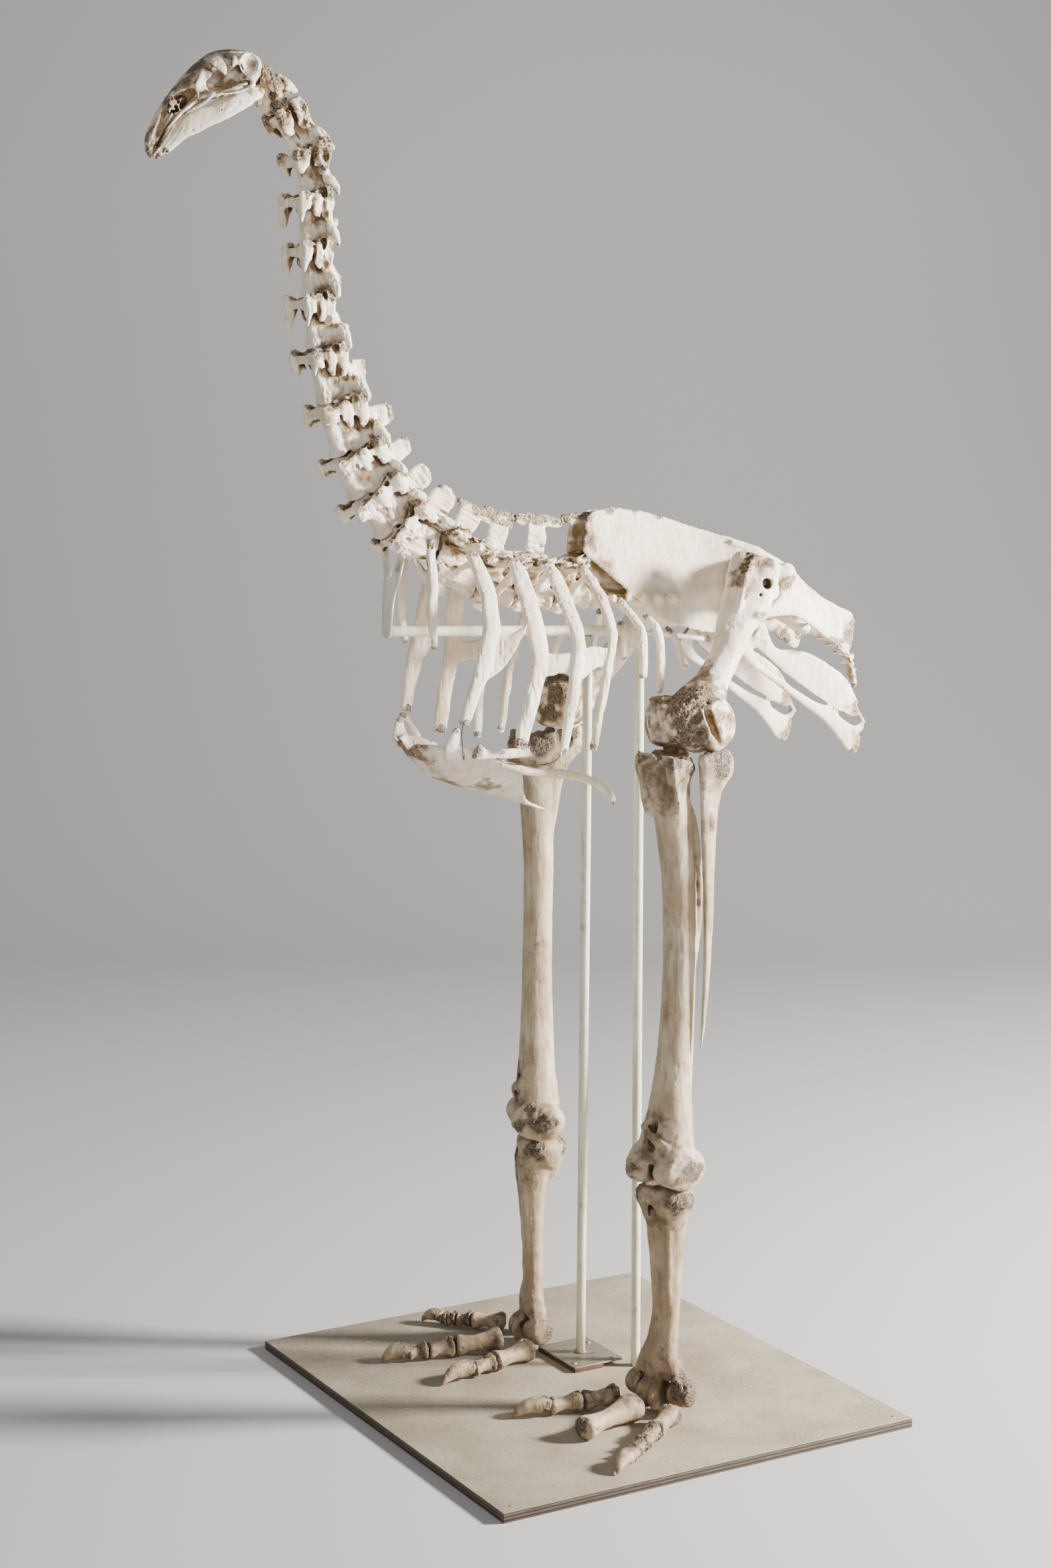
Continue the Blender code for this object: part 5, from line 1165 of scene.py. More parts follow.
def makeJaw(plan):
    ramus = blade([(-544, 38, 1970, -540, 38, 1988, 5), (-551, 37.5, 1962, -550, 38, 1985, 7.5),
        (-570, 35, 1950.5, -571, 36, 1977, 7), (-587, 32, 1941, -585, 33, 1968, 6),
        (-604, 28, 1933, -602, 28, 1960, 6), (-624, 22.5, 1922, -625, 22, 1955, 6),
        (-641, 17, 1913.5, -643, 16, 1943, 7), (-659, 8.5, 1897.5, -661, 8, 1922, 8),
        (-671, 3.5, 1888.5, -672, 3, 1902, 9), (-679, 0.8, 1885, -679, 0.8, 1892, 7)], 24, 5, 2.8)
    joint = tube([(-545, 30, 1977, 7, 4), (-547, 37, 1979, 9, 5), (-548, 44, 1979, 6, 3.4)], 16, 4, lengthwise)
    heel = tube([(-549, 38, 1972, 4, 5), (-538, 37, 1975, 3.2, 4), (-533, 36, 1978, 1.8, 2)], 14, 4)
    groove = tube([(-566, 41.5, 1968, 1.5, 1.4), (-578, 38.6, 1957, 2, 1.5), (-583, 37.6, 1953, 1.2, 1)], 10, 4)
    line = tube([(-596, 34.4, 1955, 1, 1), (-612, 30.6, 1954, 1.2, 0.9), (-630, 24.8, 1949, 0.8, 0.8)], 8, 4)
    dip = tube([(-622, 26, 1925.5, 1, 0.9), (-632, 22.5, 1927, 2, 1.2), (-642, 20, 1921, 1, 0.9)], 8, 4)
    bone("jaw_bone", both(ramus, joint, heel), looks["plain"], 0.0012, both(groove, line, dip), 2,
        [(-676, 0, 1888, 7), (-668, 5, 1896, 5)], [(-632, 21.6, 1926, 1.6), (-569, 38.5, 1966, 1.5),
        (-594, 33, 1954, 1.3)], seed=4, replaces=["jaw"], fibre=(1, 0, 0.7), grooved=0.25)
    wire = tube([(*point, plan["wireRadius"], plan["wireRadius"]) for point in plan["wire"]], 10, 6)
    metalPiece("jaw_wire", [wire], looks["plate"])


makeSkull(head)
makeJaw(jawPlan)
print("head made")


# pelvis and tail

hip = {"x": 286, "z": 1272, "socket": 72, "voxel": 0.0027}


def makePelvis(plan):
    x, z = plan["x"], plan["z"]
    ilium = blade([(-8, 25, 1334, 2, 16, 1374, 4), (0, 27, 1324, 11, 12, 1391, 6), (30, 35, 1300, 46, 8, 1400, 8),
        (75, 45, 1261, 96, 8, 1396, 8), (118, 56, 1227, 142, 8, 1388, 8), (158, 64, 1212, 180, 11, 1376, 8),
        (195, 70, 1204, 216, 15, 1365, 10), (250, 84, 1205, 262, 28, 1351, 14), (302, 88, 1230, 302, 48, 1336, 16)],
        40, 5, 3.4)
    rump = blade([(288, 84, 1224, 300, 46, 1337, 18), (340, 86, 1227, 344, 60, 1310, 12),
        (385, 83, 1206, 398, 66, 1265, 9), (432, 76, 1175, 440, 69, 1242, 8), (462, 70, 1159, 470, 68, 1229, 7),
        (473, 68, 1178, 483, 67, 1210, 4)], 36, 6, 3.2)
    hipBlock = tube([(x - 6, 30, z + 4, 34, 34), (x - 6, 50, z + 3, 42, 46), (x - 5, 80, z + 1, 46, 50),
        (x - 4, 90, z, 45, 48), (x - 4, 93, z, 38, 42)], 36, 5, lengthwise, 2.3)
    shelf = knob((x + 42, 84, z + 16), (20, 15, 24), -20)
    ischium = blade([(258, 86, 1188, 286, 86, 1228, 13), (280, 88, 1172, 300, 88, 1196, 10),
        (300, 90, 1156, 314, 90, 1178, 8), (345, 92, 1121, 362, 92, 1172, 7), (400, 93, 1086, 410, 93, 1151, 6.4),
        (443, 93, 1064, 447, 93, 1125, 6), (462, 93, 1058, 470, 93, 1088, 5)], 30, 5, 3)
    pubis = blade([(236, 82, 1178, 262, 82, 1206, 13), (262, 88, 1151, 272, 88, 1167, 8),
        (296, 90, 1129, 303, 90, 1142, 7), (355, 93, 1088, 366, 93, 1102, 7), (405, 95, 1052, 420, 95, 1074, 7),
        (440, 96, 1012, 456, 96, 1051, 7), (456, 96, 1002, 474, 96, 1058, 6), (466, 96, 1000, 482, 96, 1056, 4)], 28,
        5, 2.8)
    bridge = tube([(466, 93, 1074, 3, 5), (479, 95, 1050, 3, 6)], 14, 2)
    body = tube([(18, 0, 1262, 12, 13), (24, 0, 1262, 20, 19), (60, 0, 1262, 19, 16), (90, 0, 1262, 22, 18),
        (180, 0, 1262, 26, 18), (286, 0, 1262, 30, 18), (360, 0, 1236, 24, 13), (432, 0, 1196, 14, 10)], 30, 5)
    keel = blade([(20, 0, 1262, 15, 0, 1374, 6), (90, 0, 1262, 95, 0, 1386, 8), (190, 0, 1262, 190, 0, 1364, 12),
        (300, 0, 1262, 300, 0, 1328, 14), (380, 0, 1228, 384, 0, 1268, 10)], 24, 4)
    shield = blade([(256, -42, 1345, 256, 42, 1345, 9), (326, -62, 1312, 326, 62, 1312, 8),
        (400, -70, 1258, 400, 70, 1258, 8), (455, -70, 1226, 455, 70, 1226, 6)], 40, 6, 3)
    struts = [tube([(u, 10, 1262, 9, 6), (u + 3, reach * 0.55, 1264, 5, 4), (u + 6, reach - 4, 1262, 7, 7),
        (u + 7, reach, 1262, 9, 9)], 16, 4, lengthwise)
        for u, reach in ((34, 44), (58, 48), (84, 52), (108, 56), (134, 60))]
    rear = [tube([(u, 8, drop, 6, 4), (u + 4, 40, drop + 12, 4, 3.4), (u + 6, 70, drop + 16, 7, 6)], 14, 4,
        lengthwise) for u, drop in ((322, 1246), (352, 1232), (382, 1216), (410, 1200))]
    socket = tube([(x, 48, z, 15, 15), (x, plan["socket"], z, 17, 17), (x, 80, z, 24, 24), (x, 96, z, 26.5, 26.5),
        (x, 124, z, 27, 27)], 36, 3, lengthwise)
    frontDip = knob((x - 66, 92, 1238), (26, 16, 20), -30)
    nicks = [knob((u, 0, h), (9, 14, 6), turn) for u, h, turn in ((58, 1402, 8), (126, 1395, -8), (176, 1382, -10))]
    edge = [(-4, 20, 1352, 12), (4, 14, 1386, 10), (50, 10, 1399, 9), (95, 9, 1396, 8), (140, 9, 1388, 9),
        (470, 68, 1190, 16), (478, 68, 1210, 12), (468, 93, 1080, 12), (476, 96, 1030, 12), (462, 96, 1004, 10),
        (440, 72, 1180, 10), (x + 4, 92, z + 30, 10), (x + 40, 92, z + 10, 14), (x - 26, 92, z - 20, 10)]
    brown = [(0, 20, 1350, 22), (24, 30, 1312, 16), (474, 68, 1200, 20), (472, 94, 1070, 18), (470, 96, 1020, 16),
        (300, 70, 1200, 20), (340, 88, 1186, 14), (x, 74, z, 26), (455, 93, 1120, 10), (428, 76, 1180, 12)]
    bone("pelvis_bone", [body, keel, shield, *both(ilium, rump, hipBlock, shelf, ischium, pubis, bridge, *struts,
        *rear)], looks["plain"], plan["voxel"], [*both(socket, frontDip), *nicks], 3, bothSpots(edge),
        [(232, 84, 1196, 2.6), (322, 88, 1250, 2.4)], bothSpots(brown), 5, ["pelvis"])


tailPlan = {  # body x, z and radius, spine tip x and z, wing reach, of each tail vertebra
    "rows": [((458, 1195), 13, (464, 1216), 30), ((477, 1185), 11.5, (489, 1208), 28),
             ((493, 1173), 11, (504, 1193), 26), ((506, 1160), 10, (519, 1177), 22),
             ((517, 1144), 9, (529, 1155), 15), ((524, 1126), 7.5, (533, 1133), 9)],
    "tip": ((526, 1118, 6), (529, 1108, 5), (531, 1097, 3)),
}


def makeTail(plan):
    shapes = []
    for (x, z), radius, (tipX, tipZ), wing in plan["rows"]:
        shapes.append(knob((x, 0, z), (radius * 0.82, radius, radius), -45))
        shapes.append(blade([(x - 6, 0, z, tipX - 7, 0, tipZ - 2, 5), (x + 2, 0, z + 1, tipX - 1, 0, tipZ, 6),
            (x + 7, 0, z - 2, tipX + 2, 0, tipZ - 6, 4)], 16, 3))
        shapes += both(tube([(x, radius * 0.4, z - 2, 5, 4), (x - 1, wing * 0.6, z - 4, 4.4, 3),
            (x - 2, wing, z - 6, 5, 3)], 14, 3, lengthwise))
    shapes.append(tube([(445, 0, 1200, 8, 7), (470, 0, 1190, 8, 7), (500, 0, 1167, 7, 7), (519, 0, 1140, 5, 6),
        *[(x, 0, z, r, r + 1) for x, z, r in plan["tip"]]], 16, 4))
    bone("tail_bones", shapes, looks["plain"], 0.0016, (), 2,
        [(tipX, 0, tipZ, 8) for _, _, (tipX, tipZ), _ in plan["rows"]] + [(531, 0, 1098, 8)], (),
        [(x, 0, z - 8, 8) for (x, z), *_ in plan["rows"]], 6, ["tail"])


makePelvis(hip)
makeTail(tailPlan)
print("pelvis and tail made")


# ribs and breastbone

chest = {
    # each rib runs down and outwards through x, s, z with its half width along the body
    "ribs": {
        1: ((-285, 55, 1356, 7.5), (-288, 68, 1312, 8.5), (-290, 73, 1266, 8.5), (-288, 71, 1230, 7.5),
            (-284, 68, 1200, 5)),
        2: ((-214, 56, 1336, 11), (-216, 82, 1310, 13), (-216, 108, 1270, 14), (-219, 118, 1226, 14),
            (-231, 120, 1176, 13), (-246, 112, 1128, 11), (-255, 106, 1092, 9)),
        3: ((-149, 58, 1324, 11), (-150, 88, 1300, 14), (-151, 118, 1254, 15), (-145, 134, 1190, 15),
            (-158, 134, 1124, 13), (-173, 126, 1056, 11)),
        4: ((-92, 58, 1320, 10), (-91, 88, 1297, 12.5), (-87, 122, 1252, 12.5), (-82, 140, 1200, 11),
            (-95, 142, 1120, 10), (-104, 132, 1044, 7)),
        5: ((-26, 56, 1310, 8), (-24, 86, 1288, 10), (-19, 120, 1240, 9.5), (-25, 140, 1196, 8),
            (-41, 145, 1130, 7), (-56, 140, 1050, 6)),
        6: ((35, 62, 1262, 7), (44, 92, 1236, 7), (46, 114, 1212, 7), (38, 130, 1176, 7), (34, 134, 1148, 6)),
        7: ((82, 64, 1238, 6), (90, 86, 1212, 7), (86, 104, 1170, 7), (75, 118, 1124, 6)),
        8: ((118, 66, 1216, 5), (130, 76, 1200, 6), (140, 88, 1156, 5)),
    },
    # where the head of each of the first five ribs meets its vertebra
    "heads": {1: (-292, 27, 1326), 2: (-232, 29, 1304), 3: (-158, 31, 1278), 4: (-97, 31, 1272), 5: (-31, 31, 1272)},
    "shift": {("right", 1): 22, ("right", 2): 13},
    "thickness": 5.0, "voxel": 0.0016,
}


# rib: a flat tube, wider through its middle, with a forked upper end
def ribShapes(side, number):
    shift = chest["shift"].get((side, number), 0)
    rows = np.array([(x + shift, s, z, wide, chest["thickness"] * (0.75 + wide / 40))
        for x, s, z, wide in chest["ribs"][number]])
    end = rows[-1] + (rows[-1] - rows[-2]) * 0.02
    shapes = [tube(np.vstack([rows, [(*end[:3], end[3] * 0.6, end[4] * 0.6)]]), 24, 8, lengthwise, 2.3)]
    if number in chest["heads"]:
        tip = np.array(chest["heads"][number], float) + (shift, 0, 0)
        root = rows[0, :3] + (rows[1, :3] - rows[0, :3]) * 0.55
        middle = (tip + root) / 2 + (0, 0, 4)
        shapes.append(tube([(*root, rows[1, 3] * 0.8, 5), (*middle, rows[1, 3] * 0.55, 4), (*tip, 6, 5),
            (*(tip - (0, 2, 1)), 4, 3.4)], 18, 5, lengthwise))
        shapes.append(knob(rows[0, :3] + (0, 1, -2), (rows[0, 3] + 1, 6, 7)))
    return uneven(shapes, 1.6, 30, number)


def ribSpots(side, number):
    x, s, z, wide = chest["ribs"][number][-1]
    x0, s0, z0, _ = chest["ribs"][number][0]
    k = 1 if side == "left" else -1
    shift = chest["shift"].get((side, number), 0)
    return [(x + shift, s * k, z, wide * 0.9), (x0 + shift, s0 * k, z0, 11)]


def makeRibs():
    hook = blade([(-226, 119, 1154, -222, 118, 1232, 6), (-209, 122, 1164, -203, 121, 1227, 5),
        (-196, 124, 1175, -190, 125, 1222, 4.6), (-180, 129, 1201, -177, 129, 1229, 4),
        (-167, 132, 1226, -164, 132, 1238, 3)], 26, 5, 3)
    headArm = tube([(-311, 50, 1332, 4, 4), (-308, 54, 1325, 6, 4.4), (-299, 62, 1307, 6.4, 4.4),
        (-291, 70, 1282, 6, 4), (-289, 73, 1262, 3, 3)], 18, 5, lengthwise, 2.3)
    flap = blade([(-144, 136, 1156, -136, 134, 1194, 6), (-124, 138, 1158, -120, 137, 1191, 5),
        (-110, 139, 1161, -108, 139, 1191, 4.6), (-80, 142, 1150, -80, 142, 1196, 5.6),
        (-62, 142, 1162, -60, 142, 1200, 4.6), (-44, 142, 1166, -42, 142, 1198, 4.4),
        (-24, 142, 1158, -22, 142, 1194, 5)], 26, 5, 3)
    for side in ("left", "right"):
        for number in (3, 4, 5, 1, 2, 6, 7, 8):
            joined = number in (3, 4, 5)   # one solid stands for these three
            extra = [hook] * (number == 2) + [flap] * (number == 4) + [headArm] * (number == 1 and side == "left")
            replaced = [f"ribs_{side}_3_to_5"] * (number == 3) if joined else [f"rib_{side}_{number}"]
            bone(f"rib_{side}_{number}_bone", ownSide(side, ribShapes(side, number) + extra), looks["plain"],
                chest["voxel"], (), 2, ribSpots(side, number), seed=(30 if joined else 40) + number, grooved=0.6,
                replaces=replaced)


breast = {
    # x, half width, z in the middle, z at the edge, thickness
    "plate": [(-294, 24, 1041, 1055, 4), (-287, 42, 1030, 1054, 5), (-277, 58, 1020, 1054, 5.4),
              (-262, 76, 1007, 1053, 5.4), (-246, 88, 997, 1051, 5.4), (-205, 96, 982, 1036, 5.4),
              (-175, 96, 974, 1024, 5.4), (-155, 92, 968, 1018, 5.4), (-140, 76, 962, 998, 5.4),
              (-126, 52, 959, 980, 5.4), (-110, 30, 953, 960, 5.4), (-96, 16, 948, 951, 5), (-76, 9, 941, 942, 5),
              (-57, 4.6, 934.5, 935, 4.4)],
    "voxel": 0.0019,
}


# breastbone: a shallow dish whose cross-section is z = middle + (edge - middle) * u^2, drawn out into a tail
def makeBreastbone(plan):
    u = np.linspace(-1, 1, 9)
    net = np.stack([np.stack([x + 0 * u, u * wide, middle + (edge - middle) * u**2 + thick / 2, thick + 0 * u], -1)
        for x, wide, middle, edge, thick in plan["plate"]])
    wing = tube([(-186, 86, 1026, 10, 7), (-160, 90, 1018, 9, 7), (-130, 92, 1010, 7, 7), (-79, 95, 1004, 5.4, 8),
        (-30, 98, 990, 4.6, 7), (-3, 101, 968, 4.4, 7), (5, 102, 952, 2.8, 3.6)], 20, 6)
    corner = tube([(-262, 78, 1038, 6, 12), (-265, 84, 1056, 5, 13), (-263, 89, 1072, 4.4, 9),
        (-259, 92, 1084, 3, 5)], 18, 5)
    horn = tube([(-279, 18, 1040, 7, 5), (-291, 27, 1051, 6, 4), (-302, 33, 1061, 3.6, 2.6)], 16, 5)
    rimBars = both(tube([(-280, 52, 1053, 3.4, 3.4), (-259, 80, 1053, 4, 4), (-225, 94, 1046, 4.4, 5),
        (-186, 96, 1030, 4, 4.6)], 14, 5))
    sockets = both(*[knob((x, 97, z + 4), (4, 5, 4))
        for x, z in ((-236, 1047), (-222, 1043), (-207, 1038), (-192, 1033))])
    farWing = mirrored(tube([(-186, 86, 1026, 10, 7), (-168, 88, 1021, 8, 6), (-152, 90, 1015, 4, 4)], 20, 6))
    bone("sternum_bone", [patch(net, 5), wing, farWing, *both(corner, horn), *rimBars], looks["plain"], plan["voxel"],
        sockets, 2, [(-294, 0, 1042, 12), (4, 101, 955, 8), (4, -101, 955, 8), (-262, 90, 1080, 7),
        (-262, -90, 1080, 7), (-58, 0, 935, 8), (-294, 30, 1056, 7), (-294, -30, 1056, 7)],
        [(-270, 20, 1020, 2.4), (-238, -12, 1000, 2)],
        [(-230, 0, 1000, 22), (-190, 40, 985, 18), (-190, -40, 985, 18), (-284, 20, 1044, 18), (-284, -20, 1044, 18)],
        7, ["sternum"])
    near = tube([(-237, 103, 1050, 7, 11), (-232, 103, 1048, 8.6, 12), (-222, 104, 1045, 5.6, 8.6),
        (-204, 105, 1043.6, 4.4, 7), (-186, 106, 1043, 4.6, 7.4), (-160, 107, 1043.4, 5.4, 8),
        (-144, 108, 1044, 6.4, 7.6), (-141, 108, 1044, 4, 5)], 20, 5)
    bone("sternal_rib_left_bone", [near], looks["plain"], 0.0014, (), 2,
        [(-236, 103, 1050, 11), (-142, 108, 1044, 9)], seed=8, replaces=["sternal_rib_left"])
    far = tube([(-219, -110, 1045, 4, 5), (-222, -110, 1048, 6, 7), (-234, -107, 1066, 4.6, 5.6),
        (-246, -105.6, 1081, 5, 6), (-252, -105, 1088, 3.6, 4)], 18, 5)
    bone("sternal_rib_right_bone", [far], looks["plain"], 0.0014, (), 2, [(-250, -105, 1086, 7)], seed=9,
        replaces=["sternal_rib_right"])


tieWires = {
    "radius": 0.7,
    "front": ((-262, 118, 1098), (-266, 121, 1093), (-268, 120, 1080), (-266, 118, 1060), (-261, 112, 1040),
              (-256, 106, 1046)),
    "side": ((-206, 107, 1040), (-190, 110, 1030), (-165, 112, 1026), (-140, 113, 1024), (-118, 114, 1025),
             (-104, 116, 1031), (-102, 124, 1042)),
}


# tie wires: thin round tubes through their listed points
def makeWires(plan):
    for place in ("front", "side"):
        wire = tube([(*point, plan["radius"], plan["radius"]) for point in plan[place]], 8, 8)
        metalPiece(f"tie_wire_{place}", [wire], looks["wire"])


makeRibs()
makeBreastbone(breast)
makeWires(tieWires)
print("ribs and breastbone made")


# legs and feet

legs = {
    "turn": {"left": 15.0, "right": 18.0}, "forward": {"left": 0.0, "right": 22.0},
    "bow": {"left": -24.0, "right": 6.0},
    "footForward": 47.0, "footSpread": 177.0, "ankle": 400.0, "knee": 1040.0,
    "voxel": 0.0021, "shinVoxel": 0.0024, "fibulaVoxel": 0.0018,
}


# a leg's own axes: forward, outward and z about its foot, turned outwards and bowed between ankle and knee
def legPlace(side):
    turn = math.radians(legs["turn"][side])

    def place(points):
        forward, outward, z = np.asarray(points, float).T
        share = np.clip((z - legs["ankle"]) / (legs["knee"] - legs["ankle"]), 0, 1)
        forward = forward + legs["bow"][side] * np.sin(math.pi * share)
        return np.stack([legs["footForward"] - legs["forward"][side] - forward * math.cos(turn)
            + outward * math.sin(turn), legs["footSpread"] + forward * math.sin(turn) + outward * math.cos(turn), z],
            -1)

    return place


# the femur slides forward below the hip by as much as its knee stands forward
def femurPlace(side):
    def place(points):
        drop = np.clip((hip["z"] - points[:, 2]) / (hip["z"] - legs["knee"]), 0, 1)
        return points - np.stack([legs["forward"][side] * drop, 0 * drop, 0 * drop], -1)

    return place


# a leg's spots, moved to its place and turned over for the right
def sideSpots(side, spots, place):
    spots = np.array(spots, float).reshape(-1, 4)
    moved = np.column_stack([place(spots[:, :3]), spots[:, 3]])
    return moved * (1, -1, 1, 1) if side == "right" else moved


# a leg bone: its shapes are in place already, its spots are moved there, and all is turned over for the right
def legPiece(name, side, place, shapes, holes, look, voxel, seed, porous, foramina, brownSpots, struts=()):
    bone(f"{name}_{side}_bone", ownSide(side, shapes), looks[look], voxel, ownSide(side, holes), 3,
        sideSpots(side, porous, place), sideSpots(side, foramina, place), sideSpots(side, brownSpots, place),
        seed + (side == "left"), [f"{name}_{side}"], ownSide(side, struts))


def makeFemur(side):
    x, z = hip["x"], hip["z"]
    slant = (1.0, 0.3, 0.0)
    shaft = tube([(254, 117, 1326, 22, 7), (253, 117, 1323, 31, 11), (249, 118, 1313, 38, 15),
        (245, 119, 1300, 41, 17), (232, 122, 1262, 40, 20), (206, 129, 1222, 30, 20), (176, 140, 1170, 24, 21),
        (158, 147, 1146, 25, 22), (142, 153, 1128, 28, 24), (116, 163, 1102, 40, 29), (98, 168, 1084, 41, 28)], 34, 5,
        slant, 2.2)
    neck = tube([(x - 30, 119, z - 4, 18, 17), (x - 18, 114, z - 2, 19, 18), (x - 6, 105, z - 1, 18.5, 18)], 28, 4,
        lengthwise)
    ball = knob((x, 92, z), (21, 20, 21))
    ridge = tube([(262, 124, 1318, 5, 5), (264, 128, 1296, 6, 6), (258, 131, 1268, 6, 6), (240, 132, 1238, 5, 5)], 16,
        5)
    outerRidge = tube([(246, 128, 1322, 5, 6), (228, 133, 1314, 7, 7), (217, 135, 1290, 7, 7), (208, 138, 1256, 6, 6),
        (196, 140, 1216, 4, 5), (184, 142, 1190, 2, 2)], 16, 5)
    inner = [(46, 127, 1080, 18, 20), (50, 129, 1080, 31, 33), (58, 137, 1081, 37, 38), (74, 154, 1080, 35, 37),
        (80, 163, 1080, 24, 26)]
    outer = [(102, 177, 1079, 27, 29), (109, 182, 1079, 39, 40), (117, 193, 1079, 42, 42), (126, 206, 1078, 40, 40),
        (129, 212, 1078, 30, 31), (130, 215, 1078, 18, 19)]
    between = [knob((84, 184, 1084), (38, 30, 40)), knob((96, 186, 1066), (34, 26, 30)),
        knob((100, 190, 1104), (34, 22, 26))]
    groove = tube([(44, 158, 1126, 6, 6), (32, 163, 1092, 8, 10), (48, 170, 1050, 8, 9), (84, 172, 1034, 8, 8)], 20,
        5, slant)
    crease = tube([(90, 220, 1118, 4, 7), (96, 222, 1096, 7, 12), (106, 222, 1070, 7, 13), (120, 218, 1048, 4, 8)],
        18, 5, slant)
    notch = tube([(150, 172, 1062, 14, 17), (124, 170, 1046, 11, 13), (106, 168, 1034, 8, 9)], 18, 4, slant)
    boltHole = tube([(256, 160, 1283, 8.4, 8.4), (256, 126, 1283, 8, 8)], 20, 2, lengthwise)
    smallHole = tube([(243, 160, 1266, 3.6, 3.2), (243, 128, 1266, 3.2, 3)], 12, 2, lengthwise)
    fibulaCut = tube([(168, 200, 1060, 8, 6), (150, 204, 1048, 7, 6), (132, 206, 1036, 6, 6)], 16, 4, slant)
    pit = knob((128, 150, 1108), (13, 9, 13))
    place = femurPlace(side)
    shapes = placed([shaft, neck, ball, ridge, outerRidge, *between, tube(inner, 34, 5, slant),
        tube(outer, 34, 5, slant)], place)
    shapes = uneven(shapes, 2.2, 34, 51)
    holes = placed(uneven([groove, crease, notch, fibulaCut, pit], 2, 15, 52) + [boltHole, smallHole], place)
    porous = [(70, 160, 1118, 30), (60, 138, 1076, 22), (96, 190, 1112, 26), (240, 126, 1322, 13),
        (222, 134, 1308, 11), (214, 136, 1270, 9), (262, 126, 1314, 9), (70, 204, 1098, 28), (76, 208, 1066, 24),
        (88, 214, 1116, 16), (x - 4, 104, 1290, 10), (54, 128, 1096, 16)]
    foramina = [(176, 160, 1176, 1.6), (210, 148, 1230, 1.3), (250, 139, 1240, 1.6)]
    brownSpots = [(70, 155, 1100, 50), (110, 205, 1080, 42), (254, 118, 1316, 22), (150, 160, 1110, 26),
        (96, 190, 1060, 36), (60, 128, 1070, 34), (216, 136, 1290, 16), (240, 138, 1240, 12), (120, 160, 1135, 26)]
    bolt = tube([(256, 124, 1283, 5, 5), (256, 131, 1283, 5.6, 5.6), (256, 131.8, 1283, 4.8, 4.8)], 20, 1, lengthwise)
    metalPiece(f"hip_bolt_{side}", ownSide(side, placed([bolt], place)), looks["plate"])
    legPiece("femur", side, place, shapes, holes, "thigh", legs["voxel"], 50, porous, foramina, brownSpots)


